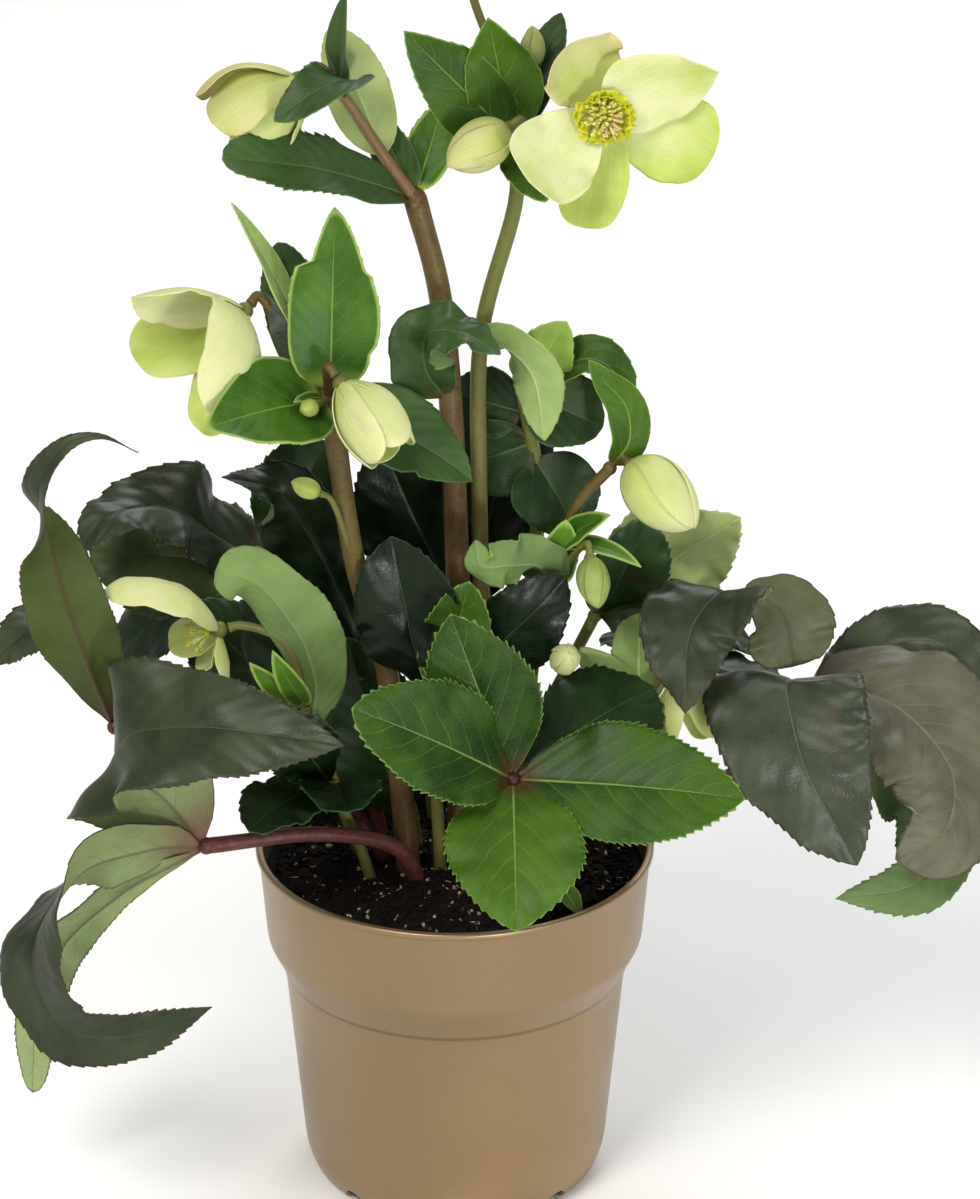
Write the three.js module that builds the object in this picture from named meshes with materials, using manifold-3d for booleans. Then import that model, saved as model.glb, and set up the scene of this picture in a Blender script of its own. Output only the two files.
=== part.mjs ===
// A potted hellebore in flower: a tapered plastic pot filled with peat, hand-shaped basal leaves on
// their stalks, leafy flower stems, nodding blooms and buds. Millimetres, +Z up, origin at the middle
// of the pot's underside. +X is right, -Y is the front.
import * as THREE from "three";
import { mergeVertices } from "three/addons/utils/BufferGeometryUtils.js";
import Module from "manifold-3d";

const wasm = await Module();
wasm.setup();

// ---------- driving sizes ----------
const GAP = 0.35; // clearance between pieces that touch
const HOLE_GAP = 0.6; // clearance of a stalk in its hole in the soil
const BLADE = 0.7; // thickness of leaves, bracts and sepals
const HUB_MARGIN = 1.2; // how much wider the knob at a stalk's end is than the stalk
const RECEPTACLE = 2.9; // largest radius of a bloom's receptacle
const OVERLAP = 0.2; // how far each sepal leans over the next
const FULLY_OPEN = 62; // degrees past which the stamens spread no further

const pot = {
  height: 118,
  lip: 65.6, // outer radius of the rolled lip
  lipHeight: 2,
  collarTop: 64.6, // outer radius under the lip
  collarFoot: 62, // outer radius where the collar ends
  collarFootZ: 86,
  waist: 56.5, // outer radius below the collar
  waistZ: 75.5,
  base: 50, // outer radius above the rounded bottom edge
  baseZ: 8,
  foot: 46.5,
  wall: 1.4,
  floor: 2.6,
  sides: 30,
  drains: 4, // holes in the floor, and notches in the bottom edge between them
  drainRing: 32,
  drainRadius: 4,
  notch: [12, 9, 5], // depth, width and height
};
const soil = {
  top: 108,
  ripple: 1.5,
  sides: 15,
  holeTop: 5, // a stalk's hole is aimed at where the stalk is this far over the soil
};
const stamen = { dome: 1.9, spread: 9, height: 8, droop: 4 }; // on a small dome; the outer ones droop
const stamenRings = [[0.06, 0.45], [0.66, 0.4], [0.84, 1.25], [1, 0.5]]; // share of the length, radius
const egg = { base: 0.5, tip: 0.62, turn: 0.7, step: 0.14 }; // a bud's outline, twist and sepal edges

// ---------- small helpers ----------
const rad = THREE.MathUtils.degToRad;
const vec = (p) => new THREE.Vector3(...p);

// Unit vector from a compass angle (0 right, 90 back, 180 left, 270 front) and an angle of rise.
function direction(compass, rise) {
  const a = rad(compass);
  const e = rad(rise);
  return new THREE.Vector3(Math.cos(e) * Math.cos(a), Math.cos(e) * Math.sin(a), Math.sin(e));
}

function solidOf(geometry) {
  const bare = geometry.index ? geometry.toNonIndexed() : geometry.clone();
  for (const name of Object.keys(bare.attributes)) {
    if (name !== "position") bare.deleteAttribute(name);
  }
  const merged = mergeVertices(bare, 1e-4);
  const vertProperties = merged.attributes.position.array;
  const triVerts = new Uint32Array(merged.index.array);
  return new wasm.Manifold(new wasm.Mesh({ numProp: 3, vertProperties, triVerts }));
}

function geometryOf(solid) {
  const mesh = solid.getMesh();
  const geometry = new THREE.BufferGeometry();
  geometry.setAttribute("position", new THREE.BufferAttribute(mesh.vertProperties, 3));
  geometry.setIndex(new THREE.BufferAttribute(mesh.triVerts, 1));
  return geometry;
}

// Joins solids into one closed body, and fills any hollow that the joining seals.
function fuse(solids) {
  const whole = solids.reduce((joined, one) => joined.add(one));
  const shells = whole.decompose().sort((a, b) => b.volume() - a.volume());
  const [outer, next] = shells;
  if (next && next.volume() > 0) throw new Error("a loose piece at " + next.boundingBox().min);
  return outer;
}

// A closed body from a list of faces given as index triples.
function body(points, faces) {
  const geometry = new THREE.BufferGeometry();
  const places = points.flatMap((p) => p.toArray());
  geometry.setAttribute("position", new THREE.Float32BufferAttribute(places, 3));
  geometry.setIndex(faces.flat());
  return solidOf(geometry);
}

// An eight-sided knob, with a corner along each of three directions.
function knob(radius, centre, x = direction(0, 0), y = direction(90, 0), z = direction(0, 90)) {
  const turn = new THREE.Matrix4().makeBasis(x, y, z).setPosition(centre);
  return solidOf(new THREE.OctahedronGeometry(radius).applyMatrix4(turn));
}

// The unit vector at an angle round an axis, from two directions across it.
function around(angle, level, rise) {
  return level.clone().multiplyScalar(Math.cos(angle)).addScaledVector(rise, Math.sin(angle));
}

// ---------- stalks ----------
const smooth = (points) => new THREE.CatmullRomCurve3(points.map(vec), false, "centripetal");

// A tapered round stalk along a smooth curve through the points, as [x, y, z].
function stalk(points, startRadius, endRadius, sides = 5, stepsEach = 2) {
  const curve = smooth(points);
  const steps = stepsEach * (points.length - 1);
  const aside = new THREE.Vector3(0.8, 0.6, 0);
  const rim = [];
  for (let i = 0; i <= steps; i++) {
    const t = i / steps;
    const centre = curve.getPoint(t);
    const along = curve.getTangent(t);
    aside.addScaledVector(along, -aside.dot(along)).normalize();
    const other = along.clone().cross(aside);
    const radius = startRadius + (endRadius - startRadius) * t;
    for (let k = 0; k < sides; k++) {
      const out = around((2 * Math.PI * k) / sides, aside, other);
      rim.push(centre.clone().addScaledVector(out, radius));
    }
  }
  const faces = [];
  for (let i = 0; i < steps; i++) {
    for (let k = 0; k < sides; k++) {
      const a = i * sides + k;
      const b = i * sides + ((k + 1) % sides);
      faces.push([a, b, a + sides], [b, b + sides, a + sides]);
    }
  }
  const last = steps * sides;
  for (let k = 1; k < sides - 1; k++) {
    faces.push([0, k + 1, k], [last, last + k, last + k + 1]);
  }
  return body(rim, faces);
}

// ---------- blades: leaflets, bracts and sepals ----------
// Half-width along a blade as a share of its widest, from the powers of its base and tip ends.
function halfWidth(s, base, tip) {
  const peak = base / (base + tip);
  const top = peak ** base * (1 - peak) ** tip;
  return (Math.max(s, 0) ** base * Math.max(1 - s, 0) ** tip) / top;
}

// The kinds of blade: powers of the outline, the first tooth's place, teeth a side, tooth depth, the fold at
// the rib and the cupping of each half, in degrees.
const kinds = {
  leaflet: { base: 1.05, tip: 0.8, from: 0.34, teeth: 2, depth: 0.1, fold: 12, cup: -8 },
  rear: { base: 1.05, tip: 0.8, from: 0.4, teeth: 1, depth: 0.1, fold: 12, cup: -8 },
  fresh: { base: 0.8, tip: 0.9, from: 0.22, teeth: 3, depth: 0.08, fold: 10, cup: -6 },
  curled: { base: 0.8, tip: 1, from: 0.25, teeth: 3, depth: 0.07, fold: 12, cup: -8 },
  broad: { base: 0.62, tip: 0.95, from: 0.22, teeth: 3, depth: 0.07, fold: 10, cup: -8 },
  long: { base: 0.5, tip: 1.6, from: 0.2, teeth: 3, depth: 0.05, fold: 12, cup: -6 },
  bract: { base: 0.56, tip: 0.72, from: 0.45, teeth: 1, depth: 0.08, fold: 10, cup: 6 },
  ovate: { base: 0.6, tip: 0.95, from: 0.45, teeth: 1, depth: 0.08, fold: 10, cup: 6 },
  blunt: { base: 0.7, tip: 0.42, from: 0.3, teeth: 2, depth: 0.05, fold: 10, cup: -6 },
  small: { base: 0.5, tip: 0.8, from: 1, teeth: 0, depth: 0, fold: 14, cup: 0 },
  sepal: { base: 0.6, tip: 0.4, from: 1, teeth: 0, depth: 0, fold: 4, cup: 30 },
};
const plainRows = [0, 0.3, 0.74, 1];
const toothPeak = 0.72; // where in its pitch a tooth is widest, so that it points to the blade's tip
const notchShare = -0.3; // depth of the notch between teeth, as a share of the tooth

// Places along a blade that need a row: the plain foot, then a notch and a tip for each tooth.
function rowsOf(kind) {
  if (!kind.teeth) return plainRows.map((s) => ({ s, tooth: 0 }));
  const rows = [{ s: 0, tooth: 0 }, { s: kind.from / 2, tooth: 0 }];
  const pitch = (1 - kind.from) / kind.teeth;
  for (let k = 0; k < kind.teeth; k++) {
    rows.push({ s: kind.from + k * pitch, tooth: notchShare });
    rows.push({ s: kind.from + (k + toothPeak) * pitch, tooth: 1 });
  }
  return [...rows, { s: 1, tooth: 0 }];
}

// A thin curved blade. Its middle line follows a path, with the ways that its upper side faces along it as
// [compass, rise]. Or it runs from a root to a tip with one face, and arcs by bend away from that side.
function blade({ kind = "leaflet", width, stem = 1.3, path, faces, ...chord }) {
  const form = kinds[kind];
  const rows = rowsOf(form);
  const places = rows.map((row) => row.s);
  const spine = path ? pathSpine(places, path, faces) : chordSpine(places, chord);
  const grid = rows.map(({ s, tooth }, i) => {
    const { at, normal, side } = spine[i];
    const shape = halfWidth(s, form.base, form.tip) * (1 + form.depth * tooth);
    const half = Math.max((shape * width) / 2, s < 0.5 ? stem : BLADE / 2);
    return [-1, 0, 1].map((c) => {
      const [out, up] = crossSection(c, half, rad(form.fold), rad(form.cup));
      return at.clone().addScaledVector(side, out).addScaledVector(normal, up);
    });
  });
  return sheet(grid, BLADE);
}

function pathSpine(places, path, faces) {
  const curve = smooth(path);
  const ways = faces.map((face) => direction(...face));
  return places.map((s) => {
    const along = curve.getTangentAt(s);
    const i = Math.min(Math.floor(s * (ways.length - 1)), ways.length - 2);
    const normal = ways[i].clone().lerp(ways[i + 1], s * (ways.length - 1) - i);
    normal.addScaledVector(along, -normal.dot(along)).normalize();
    return { at: curve.getPointAt(s), normal, side: along.clone().cross(normal) };
  });
}

function chordSpine(places, { root, tip, face, bend = 40 }) {
  const angle = rad(bend);
  const arc = (s) => new THREE.Vector3(Math.sin(angle * s), 0, Math.cos(angle * s) - 1).divideScalar(angle);
  const chord = vec(tip).sub(vec(root));
  const span = arc(1);
  const turn = basis(chord, direction(...face)).multiply(basis(span, direction(0, 90)).transpose());
  const scale = chord.length() / span.length();
  return places.map((s) => ({
    at: arc(s).multiplyScalar(scale).applyMatrix3(turn).add(vec(root)),
    normal: new THREE.Vector3(Math.sin(angle * s), 0, Math.cos(angle * s)).applyMatrix3(turn),
    side: new THREE.Vector3(0, -1, 0).applyMatrix3(turn),
  }));
}

// Where a blade's columns lie, out along its side and up along its normal, for its fold and cupping.
function crossSection(c, half, fold, cup) {
  const a = Math.abs(c);
  if (Math.abs(cup) < 1e-3) return [c * half * Math.cos(fold), a * half * Math.sin(fold)];
  const out = (half / cup) * (Math.sin(fold + cup * a) - Math.sin(fold));
  const up = (half / cup) * (Math.cos(fold) - Math.cos(fold + cup * a));
  return [Math.sign(c) * out, up];
}

function basis(first, up) {
  const x = first.clone().normalize();
  const z = up.clone().addScaledVector(x, -up.dot(x)).normalize();
  const y = z.clone().cross(x);
  return new THREE.Matrix3().set(x.x, y.x, z.x, x.y, y.y, z.y, x.z, y.z, z.z);
}

// Thickens a grid of points into a closed body whose two faces are split alike.
function sheet(grid, thickness) {
  const rows = grid.length;
  const columns = grid[0].length;
  const within = (i, count) => Math.min(Math.max(i, 0), count - 1);
  const at = (i, j) => grid[within(i, rows)][within(j, columns)];
  const points = [[], []];
  for (let i = 0; i < rows; i++) {
    for (let j = 0; j < columns; j++) {
      const along = at(i + 1, j).clone().sub(at(i - 1, j));
      const across = at(i, j + 1).clone().sub(at(i, j - 1));
      const lift = across.cross(along).normalize().multiplyScalar(thickness / 2);
      points[0].push(at(i, j).clone().add(lift));
      points[1].push(at(i, j).clone().sub(lift));
    }
  }
  const under = rows * columns;
  const faces = [];
  for (let i = 0; i < rows - 1; i++) {
    for (let j = 0; j < columns - 1; j++) {
      const a = i * columns + j;
      const [b, c, d] = [a + 1, a + columns, a + columns + 1];
      const split = j < (columns - 1) / 2 ? [[a, b, d], [a, d, c]] : [[a, b, c], [b, d, c]];
      for (const [p, q, r] of split) faces.push([p, q, r], [under + p, under + r, under + q]);
    }
  }
  const edge = [];
  for (let j = 0; j < columns - 1; j++) edge.push(j);
  for (let i = 0; i < rows - 1; i++) edge.push(i * columns + columns - 1);
  for (let j = columns - 1; j > 0; j--) edge.push((rows - 1) * columns + j);
  for (let i = rows - 1; i > 0; i--) edge.push(i * columns);
  edge.forEach((a, i) => {
    const b = edge[(i + 1) % edge.length];
    faces.push([a, under + a, b], [b, under + a, under + b]);
  });
  return body(points.flat(), faces);
}

// ---------- the plant's parts ----------
// Basal leaves: each one's stalk from the soil to its hub, the stalk's radii, and the leaflets that part there.
const leaves = {
  leaf_front: {
    stalk: [[5, -16, 95], [6, -22, 125], [19, -38, 160]],
    radius: [2.5, 2.1],
    kind: "fresh",
    color: 0x2f6a24,
    blades: [
      { tip: [-1, -30, 215], face: [265, 22], width: 36, bend: 14 },
      { tip: [-32, -62, 197], face: [250, 42], width: 37, bend: 30 },
      { tip: [20, -82, 128], face: [270, 52], width: 44, bend: 30 },
      { tip: [93, -52, 160], face: [285, 42], width: 40, bend: 20 },
      { tip: [65, -8, 178], face: [300, 62], width: 38, bend: 40 },
    ],
  },
  leaf_low_left: {
    stalk: [[-8, -11, 95], [-18, -14, 122], [-41, -22, 132], [-80, -36, 135]],
    radius: [2.8, 2.4],
    kind: "broad",
    color: 0x434d3c,
    blades: [
      {
        path: [[-93, -34, 151], [-108, -43, 169], [-98, -57, 187], [-68, -70, 193], [-34, -76, 191]],
        faces: [[95, 0], [110, 0], [215, 40], [250, 50], [262, 50], [265, 40]],
        width: 50,
      },
      {
        path: [[-98, -40, 136], [-118, -46, 131], [-131, -52, 118], [-135, -58, 98], [-125, -62, 82],
          [-106, -64, 80], [-78, -62, 90]],
        faces: [[90, 15], [95, 20], [185, 15], [228, 5], [250, -5], [262, 0], [270, 10]],
        width: 34,
      },
      {
        path: [[-108, -33, 116], [-127, -30, 96], [-137, -27, 68], [-140, -24, 37]],
        faces: [[95, 20], [85, 20], [80, 0], [75, 0]],
        width: 15,
        kind: "blunt",
      },
    ],
  },
  leaf_far_left: {
    stalk: [[-18, 5, 95], [-32, 4, 125], [-74, -4, 156], [-110, -14, 167]],
    radius: [2.5, 2],
    kind: "long",
    color: 0x4a5a35,
    blades: [
      {
        path: [[-118, -20, 194], [-125, -25, 221], [-129, -28, 243], [-130, -30, 260], [-122, -31, 274],
          [-111, -31, 277], [-99, -30, 271]],
        faces: [[75, -5], [80, -5], [95, 0], [115, 5], [205, 15], [250, 30], [260, 50]],
        width: 27,
      },
      {
        path: [[-114, -4, 176], [-120, 4, 191], [-133, 10, 192], [-152, 12, 178]],
        faces: [[260, 40], [250, 50], [250, 50], [245, 30]],
        width: 20,
        kind: "rear",
      },
    ],
  },
  leaf_back_left: {
    stalk: [[-21, 19, 95], [-30, 26, 130], [-50, 32, 175], [-62, 34, 202]],
    radius: [2.4, 2],
    kind: "broad",
    color: 0x3f4238,
    blades: [
      {
        path: [[-80, 32, 216], [-99, 25, 228], [-114, 14, 228], [-121, 10, 217]],
        faces: [[262, 60], [262, 60], [245, 45], [225, 20]],
        width: 32,
      },
      { tip: [-112, 40, 166], face: [255, 62], width: 34, bend: 50, kind: "rear" },
      { tip: [-42, 46, 242], face: [262, 20], width: 32, bend: 30, kind: "leaflet" },
      { tip: [-92, 76, 190], face: [200, 75], width: 32, bend: 60, kind: "rear" },
    ],
  },
  leaf_centre_left: {
    stalk: [[-11, 10, 95], [-16, 14, 130], [-30, 14, 172]],
    radius: [2.3, 1.9],
    kind: "leaflet",
    color: 0x26352a,
    blades: [
      {
        path: [[-35, 13, 194], [-45, 10, 220], [-56, 4, 242], [-74, -6, 252]],
        faces: [[240, 10], [245, 15], [240, 30], [230, 60]],
        width: 32,
        kind: "curled",
      },
      { tip: [-34, 44, 190], face: [150, 60], width: 22, bend: 50, kind: "rear" },
    ],
  },
  leaf_centre: {
    stalk: [[-4, -2, 95], [-6, -5, 140], [-7, -7, 172]],
    radius: [2.2, 1.9],
    kind: "leaflet",
    color: 0x25342c,
    blades: [
      { tip: [-20, -10, 233], face: [258, 15], width: 34, bend: 30 },
      { tip: [36, -6, 217], face: [290, 25], width: 29, bend: 40 },
      { tip: [5, -14, 219], face: [275, 15], width: 22, bend: 30 },
    ],
  },
  leaf_centre_back: {
    stalk: [[1, 17, 95], [2, 22, 140], [3, 26, 186]],
    radius: [2.2, 1.9],
    kind: "leaflet",
    color: 0x25342c,
    blades: [
      { tip: [-24, 30, 250], face: [262, 8], width: 38, bend: 20 },
      { tip: [20, 52, 256], face: [278, 10], width: 38, bend: 30 },
      { tip: [2, 72, 214], face: [100, 50], width: 34, bend: 50, kind: "rear" },
    ],
  },
  leaf_right: {
    stalk: [[19, -8, 95], [38, -9, 128], [92, -5, 146], [114, 10, 162]],
    radius: [2.8, 2.2],
    kind: "broad",
    color: 0x474b42,
    blades: [
      {
        path: [[110, -3, 178], [107, -18, 184], [112, -35, 165], [130, -42, 131]],
        faces: [[240, 60], [250, 78], [262, 55], [262, 15], [262, 5]],
        width: 52,
      },
      {
        path: [[130, 8, 169], [148, 0, 165], [162, -13, 149], [158, -25, 133], [143, -32, 128]],
        faces: [[250, 70], [262, 75], [285, 55], [290, 25], [275, 10], [268, 10]],
        width: 44,
      },
      {
        path: [[138, 12, 146], [158, 2, 128], [152, -20, 114], [124, -31, 113]],
        faces: [[300, 60], [290, 40], [275, 30], [265, 35]],
        width: 32,
      },
      {
        path: [[132, 24, 172], [150, 26, 179], [163, 22, 176], [170, 16, 160]],
        faces: [[262, 40], [270, 60], [285, 50], [300, 10]],
        width: 26,
        kind: "rear",
      },
    ],
  },
  leaf_upper_right: {
    stalk: [[15, 12, 95], [36, 16, 140], [66, 12, 178], [92, 4, 204]],
    radius: [2.4, 1.9],
    kind: "broad",
    color: 0x343b34,
    blades: [
      {
        path: [[86, -12, 214], [76, -25, 207], [74, -35, 182]],
        faces: [[230, 80], [248, 70], [258, 20], [262, 0]],
        width: 35,
      },
      {
        path: [[99, 3, 207], [109, 1, 204], [114, -2, 187]],
        faces: [[262, 60], [275, 50], [280, 20], [275, 0]],
        width: 30,
        kind: "blunt",
      },
    ],
  },
  leaf_pale_right: {
    stalk: [[9, 25, 95], [24, 26, 140], [46, 26, 188]],
    radius: [2.2, 1.8],
    kind: "leaflet",
    color: 0x5f8640,
    blades: [
      { tip: [93, 16, 228], face: [85, 5], width: 40, bend: 20, kind: "curled" },
      { tip: [62, 4, 234], face: [290, 30], width: 28, bend: 40 },
      { tip: [98, 40, 172], face: [300, 75], width: 32, bend: 50, kind: "rear" },
    ],
  },
  leaf_back: {
    stalk: [[-6, 28, 95], [-9, 44, 130], [-12, 68, 158]],
    radius: [2.4, 2],
    kind: "rear",
    color: 0x3c4a34,
    blades: [
      { tip: [-62, 76, 148], face: [206, 62], width: 30, bend: 50 },
      { tip: [-40, 114, 138], face: [148, 62], width: 30, bend: 50 },
      { tip: [20, 112, 140], face: [86, 62], width: 34, bend: 50 },
    ],
  },
  leaf_back_right: {
    stalk: [[18, 27, 95], [38, 42, 130], [64, 60, 154]],
    radius: [2.3, 1.9],
    kind: "rear",
    color: 0x3a4633,
    blades: [
      { tip: [66, 110, 140], face: [116, 62], width: 30, bend: 50 },
      { tip: [110, 86, 142], face: [58, 62], width: 28, bend: 50 },
      { tip: [112, 44, 146], face: [10, 62], width: 28, bend: 50 },
    ],
  },
  leaf_dark_left: {
    stalk: [[-24, -8, 95], [-31, -8, 120], [-40, -10, 144]],
    radius: [2, 1.7],
    kind: "rear",
    color: 0x2c3f26,
    blades: [
      { tip: [-66, -40, 142], face: [245, 60], width: 28, bend: 50 },
      { tip: [-34, -46, 152], face: [275, 60], width: 26, bend: 40 },
      { tip: [-56, -28, 180], face: [262, 30], width: 24, bend: 30 },
    ],
  },
};

// Flower stems. Branches leave the stem for a bloom or end free, and the blades here are bracts.
const stems = {
  stem_left: {
    stalk: [[-14, -2, 95], [-22, -1, 181], [-32, -6, 223], [-39, -12, 282]],
    radius: [3.9, 3.3],
    branches: [
      { via: [], to: "bloom_half_open", radius: [1.7, 1.5] },
      { via: [[-49, -3, 292]], to: "bloom_left", radius: [1.7, 1.5] },
      { via: [], to: "bud_tiny", radius: [1, 1] },
      { from: [-30, -4, 212], via: [], to: "bud_small", radius: [1, 1] },
    ],
    blades: [
      { tip: [-37, -8, 345], face: [272, 20], width: 30, bend: -10, kind: "ovate" },
      { tip: [-77, -48, 287], face: [262, 40], width: 31, bend: 20, kind: "ovate" },
      { tip: [6, -14, 254], face: [292, 45], width: 30, bend: 30, kind: "ovate" },
      { tip: [-70, 8, 340], face: [330, 10], width: 13, bend: 12, kind: "small" },
      { tip: [-56, 20, 322], face: [262, 20], width: 22, bend: 60 },
      { tip: [-82, 30, 256], face: [255, 65], width: 18, bend: 30 },
      { tip: [-50, -27, 287], face: [262, 60], width: 6, bend: 20, kind: "small" },
    ],
  },
  stem_tall: {
    stalk: [[2, 5, 95], [1, 10, 215], [-4, 10, 306], [-12, 10, 341]],
    radius: [4.4, 3.4],
    branches: [
      { via: [[-22, 7, 357], [-34, 5, 377]], to: "bloom_nodding", radius: [2, 1.4] },
    ],
    blades: [
      { tip: [-71, -26, 368], face: [262, 50], width: 20, bend: 30 },
      { root: [-22, 7, 357], tip: [-38, 12, 398], face: [95, 0], width: 21, bend: 20 },
      {
        root: [-34, 5, 377],
        path: [[-32, -4, 385], [-40, -16, 388], [-55, -22, 379]],
        faces: [[250, 70], [255, 75], [262, 50], [250, 20]],
        width: 18,
      },
      { root: [-34, 5, 377], tip: [-33, 2, 412], face: [215, 10], width: 13, bend: 20, kind: "small" },
      { tip: [-24, 18, 366], face: [262, 15], width: 14, bend: 30 },
      { tip: [-3, 24, 368], face: [262, 15], width: 16, bend: 20 },
      { root: [-35, 5, 377], tip: [-52, -8, 384], face: [250, 60], width: 6, bend: 20, kind: "small" },
      {
        root: [-3, 8, 274],
        path: [[-9, 0, 288], [-8, -8, 302], [2, -14, 306], [15, -17, 299]],
        faces: [[262, 0], [262, 10], [265, 40], [275, 70], [290, 60]],
        width: 22,
      },
    ],
  },
  stem_right: {
    stalk: [[12, 7, 95], [8, 15, 245], [9, 12, 295], [20, 4, 345], [19, 2, 364]],
    radius: [2.9, 2.3],
    branches: [
      { via: [[14, 11, 385], [6, 14, 408]], to: "bud_top", radius: [1.5, 1.2] },
      { via: [[31, 5, 367]], to: "bloom_open", radius: [1.8, 1.6] },
      { via: [], to: "bud_egg", radius: [1.6, 1.5] },
      { via: [[24, 9, 376]], to: "bud_brown", radius: [1.2, 1] },
    ],
    blades: [
      { tip: [-15, -4, 402], face: [258, 25], width: 25, bend: 10, kind: "ovate" },
      { tip: [11, -6, 407], face: [272, 15], width: 25, bend: -20, kind: "ovate" },
      { tip: [29, -16, 350], face: [285, 20], width: 18, bend: 20 },
      { tip: [34, 24, 398], face: [262, 15], width: 14, bend: 10 },
      { root: [31, 5, 367], tip: [70, 8, 352], face: [280, 30], width: 9, bend: 30, kind: "small" },
      {
        root: [9, 12, 288],
        path: [[16, 2, 294], [25, -6, 288], [29, -9, 266]],
        faces: [[85, 40], [80, 10], [80, -20]],
        width: 19,
      },
    ],
  },
  stem_right_low: {
    stalk: [[22, 7, 95], [24, 12, 160], [30, 8, 205], [40, 4, 238], [50, 1, 252]],
    radius: [2.4, 1.7],
    branches: [
      { via: [], to: "bud_right", radius: [1.5, 1.4] },
      { from: [30, 8, 205], via: [[38, -2, 222]], to: "bud_hanging", radius: [1.2, 1.1] },
      { from: [28, 10, 188], via: [], to: "bud_pale", radius: [1.2, 1.1] },
    ],
    blades: [
      {
        path: [[56, 0, 262], [55, 2, 273], [48, 4, 281], [43, 5, 288]],
        faces: [[300, 15], [290, 10], [270, 20], [262, 50]],
        width: 14,
        kind: "small",
      },
      { root: [34, 5, 222], tip: [50, -9, 240], face: [290, 50], width: 11, bend: 30, kind: "small" },
      { root: [34, 5, 222], tip: [60, -14, 224], face: [290, 60], width: 8, bend: 60, kind: "small" },
      { root: [31, 6, 208], tip: [36, -4, 236], face: [275, 10], width: 14, bend: 20 },
      {
        root: [29, 7, 206],
        path: [[27, -6, 221], [18, -14, 225], [9, -17, 226], [7, -15, 234]],
        faces: [[85, -10], [80, -10], [75, 0], [80, 10]],
        width: 19,
      },
    ],
  },
  stem_behind: {
    stalk: [[14, 38, 95], [21, 36, 160], [27, 24, 235], [22, 21, 270]],
    radius: [2.6, 2],
    branches: [],
    blades: [
      { tip: [36, 15, 297], face: [285, 40], width: 20, bend: 20 },
      {
        path: [[35, 17, 281], [45, 14, 284], [53, 10, 279], [54, 8, 270]],
        faces: [[280, 60], [290, 60], [300, 40], [300, 10]],
        width: 17,
      },
      { tip: [48, 20, 258], face: [275, 25], width: 26, bend: 40 },
      { root: [25, 22, 252], tip: [0, 22, 242], face: [265, 4], width: 28, bend: 10 },
      { root: [26, 22, 246], tip: [40, 12, 224], face: [280, 30], width: 30, bend: 30 },
      { root: [22, 23, 262], tip: [-2, 28, 268], face: [265, 10], width: 24, bend: 20 },
    ],
  },
  stem_low_left: {
    stalk: [[-28, 12, 95], [-38, 8, 130], [-48, -2, 168]],
    radius: [2.2, 1.8],
    branches: [
      { via: [[-55, -10, 196]], to: "bloom_low_left", radius: [1.5, 1.4] },
    ],
    blades: [
      {
        root: [-46, 0, 160],
        path: [[-45, -10, 184], [-52, -17, 206], [-64, -20, 222], [-76, -21, 226]],
        faces: [[80, 10], [75, 10], [65, -5], [40, -20]],
        width: 26,
      },
      { tip: [-58, -26, 200], face: [262, 25], width: 9, bend: 20, kind: "small" },
      { tip: [-66, -14, 190], face: [240, 25], width: 9, bend: 20, kind: "small" },
    ],
  },
  stem_low_right: {
    stalk: [[27, 1, 95], [44, 6, 130], [60, 8, 160]],
    radius: [2.2, 1.8],
    branches: [
      { via: [[70, -1, 184]], to: "bloom_low_right", radius: [1.5, 1.4] },
    ],
    blades: [
      { tip: [60, 2, 200], face: [85, 10], width: 20, bend: 20 },
      { root: [59, 8, 158], tip: [41, 2, 188], face: [85, 10], width: 16, bend: 30, kind: "small" },
    ],
  },
  shoot_front: {
    stalk: [[24, -26, 95], [25, -27, 104], [26, -28, 113], [34, -33, 120]],
    radius: [1.3, 1],
    branches: [],
    blades: [{ tip: [41, -42, 113], face: [280, 50], width: 7, bend: 20, kind: "small" }],
  },
};

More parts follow.
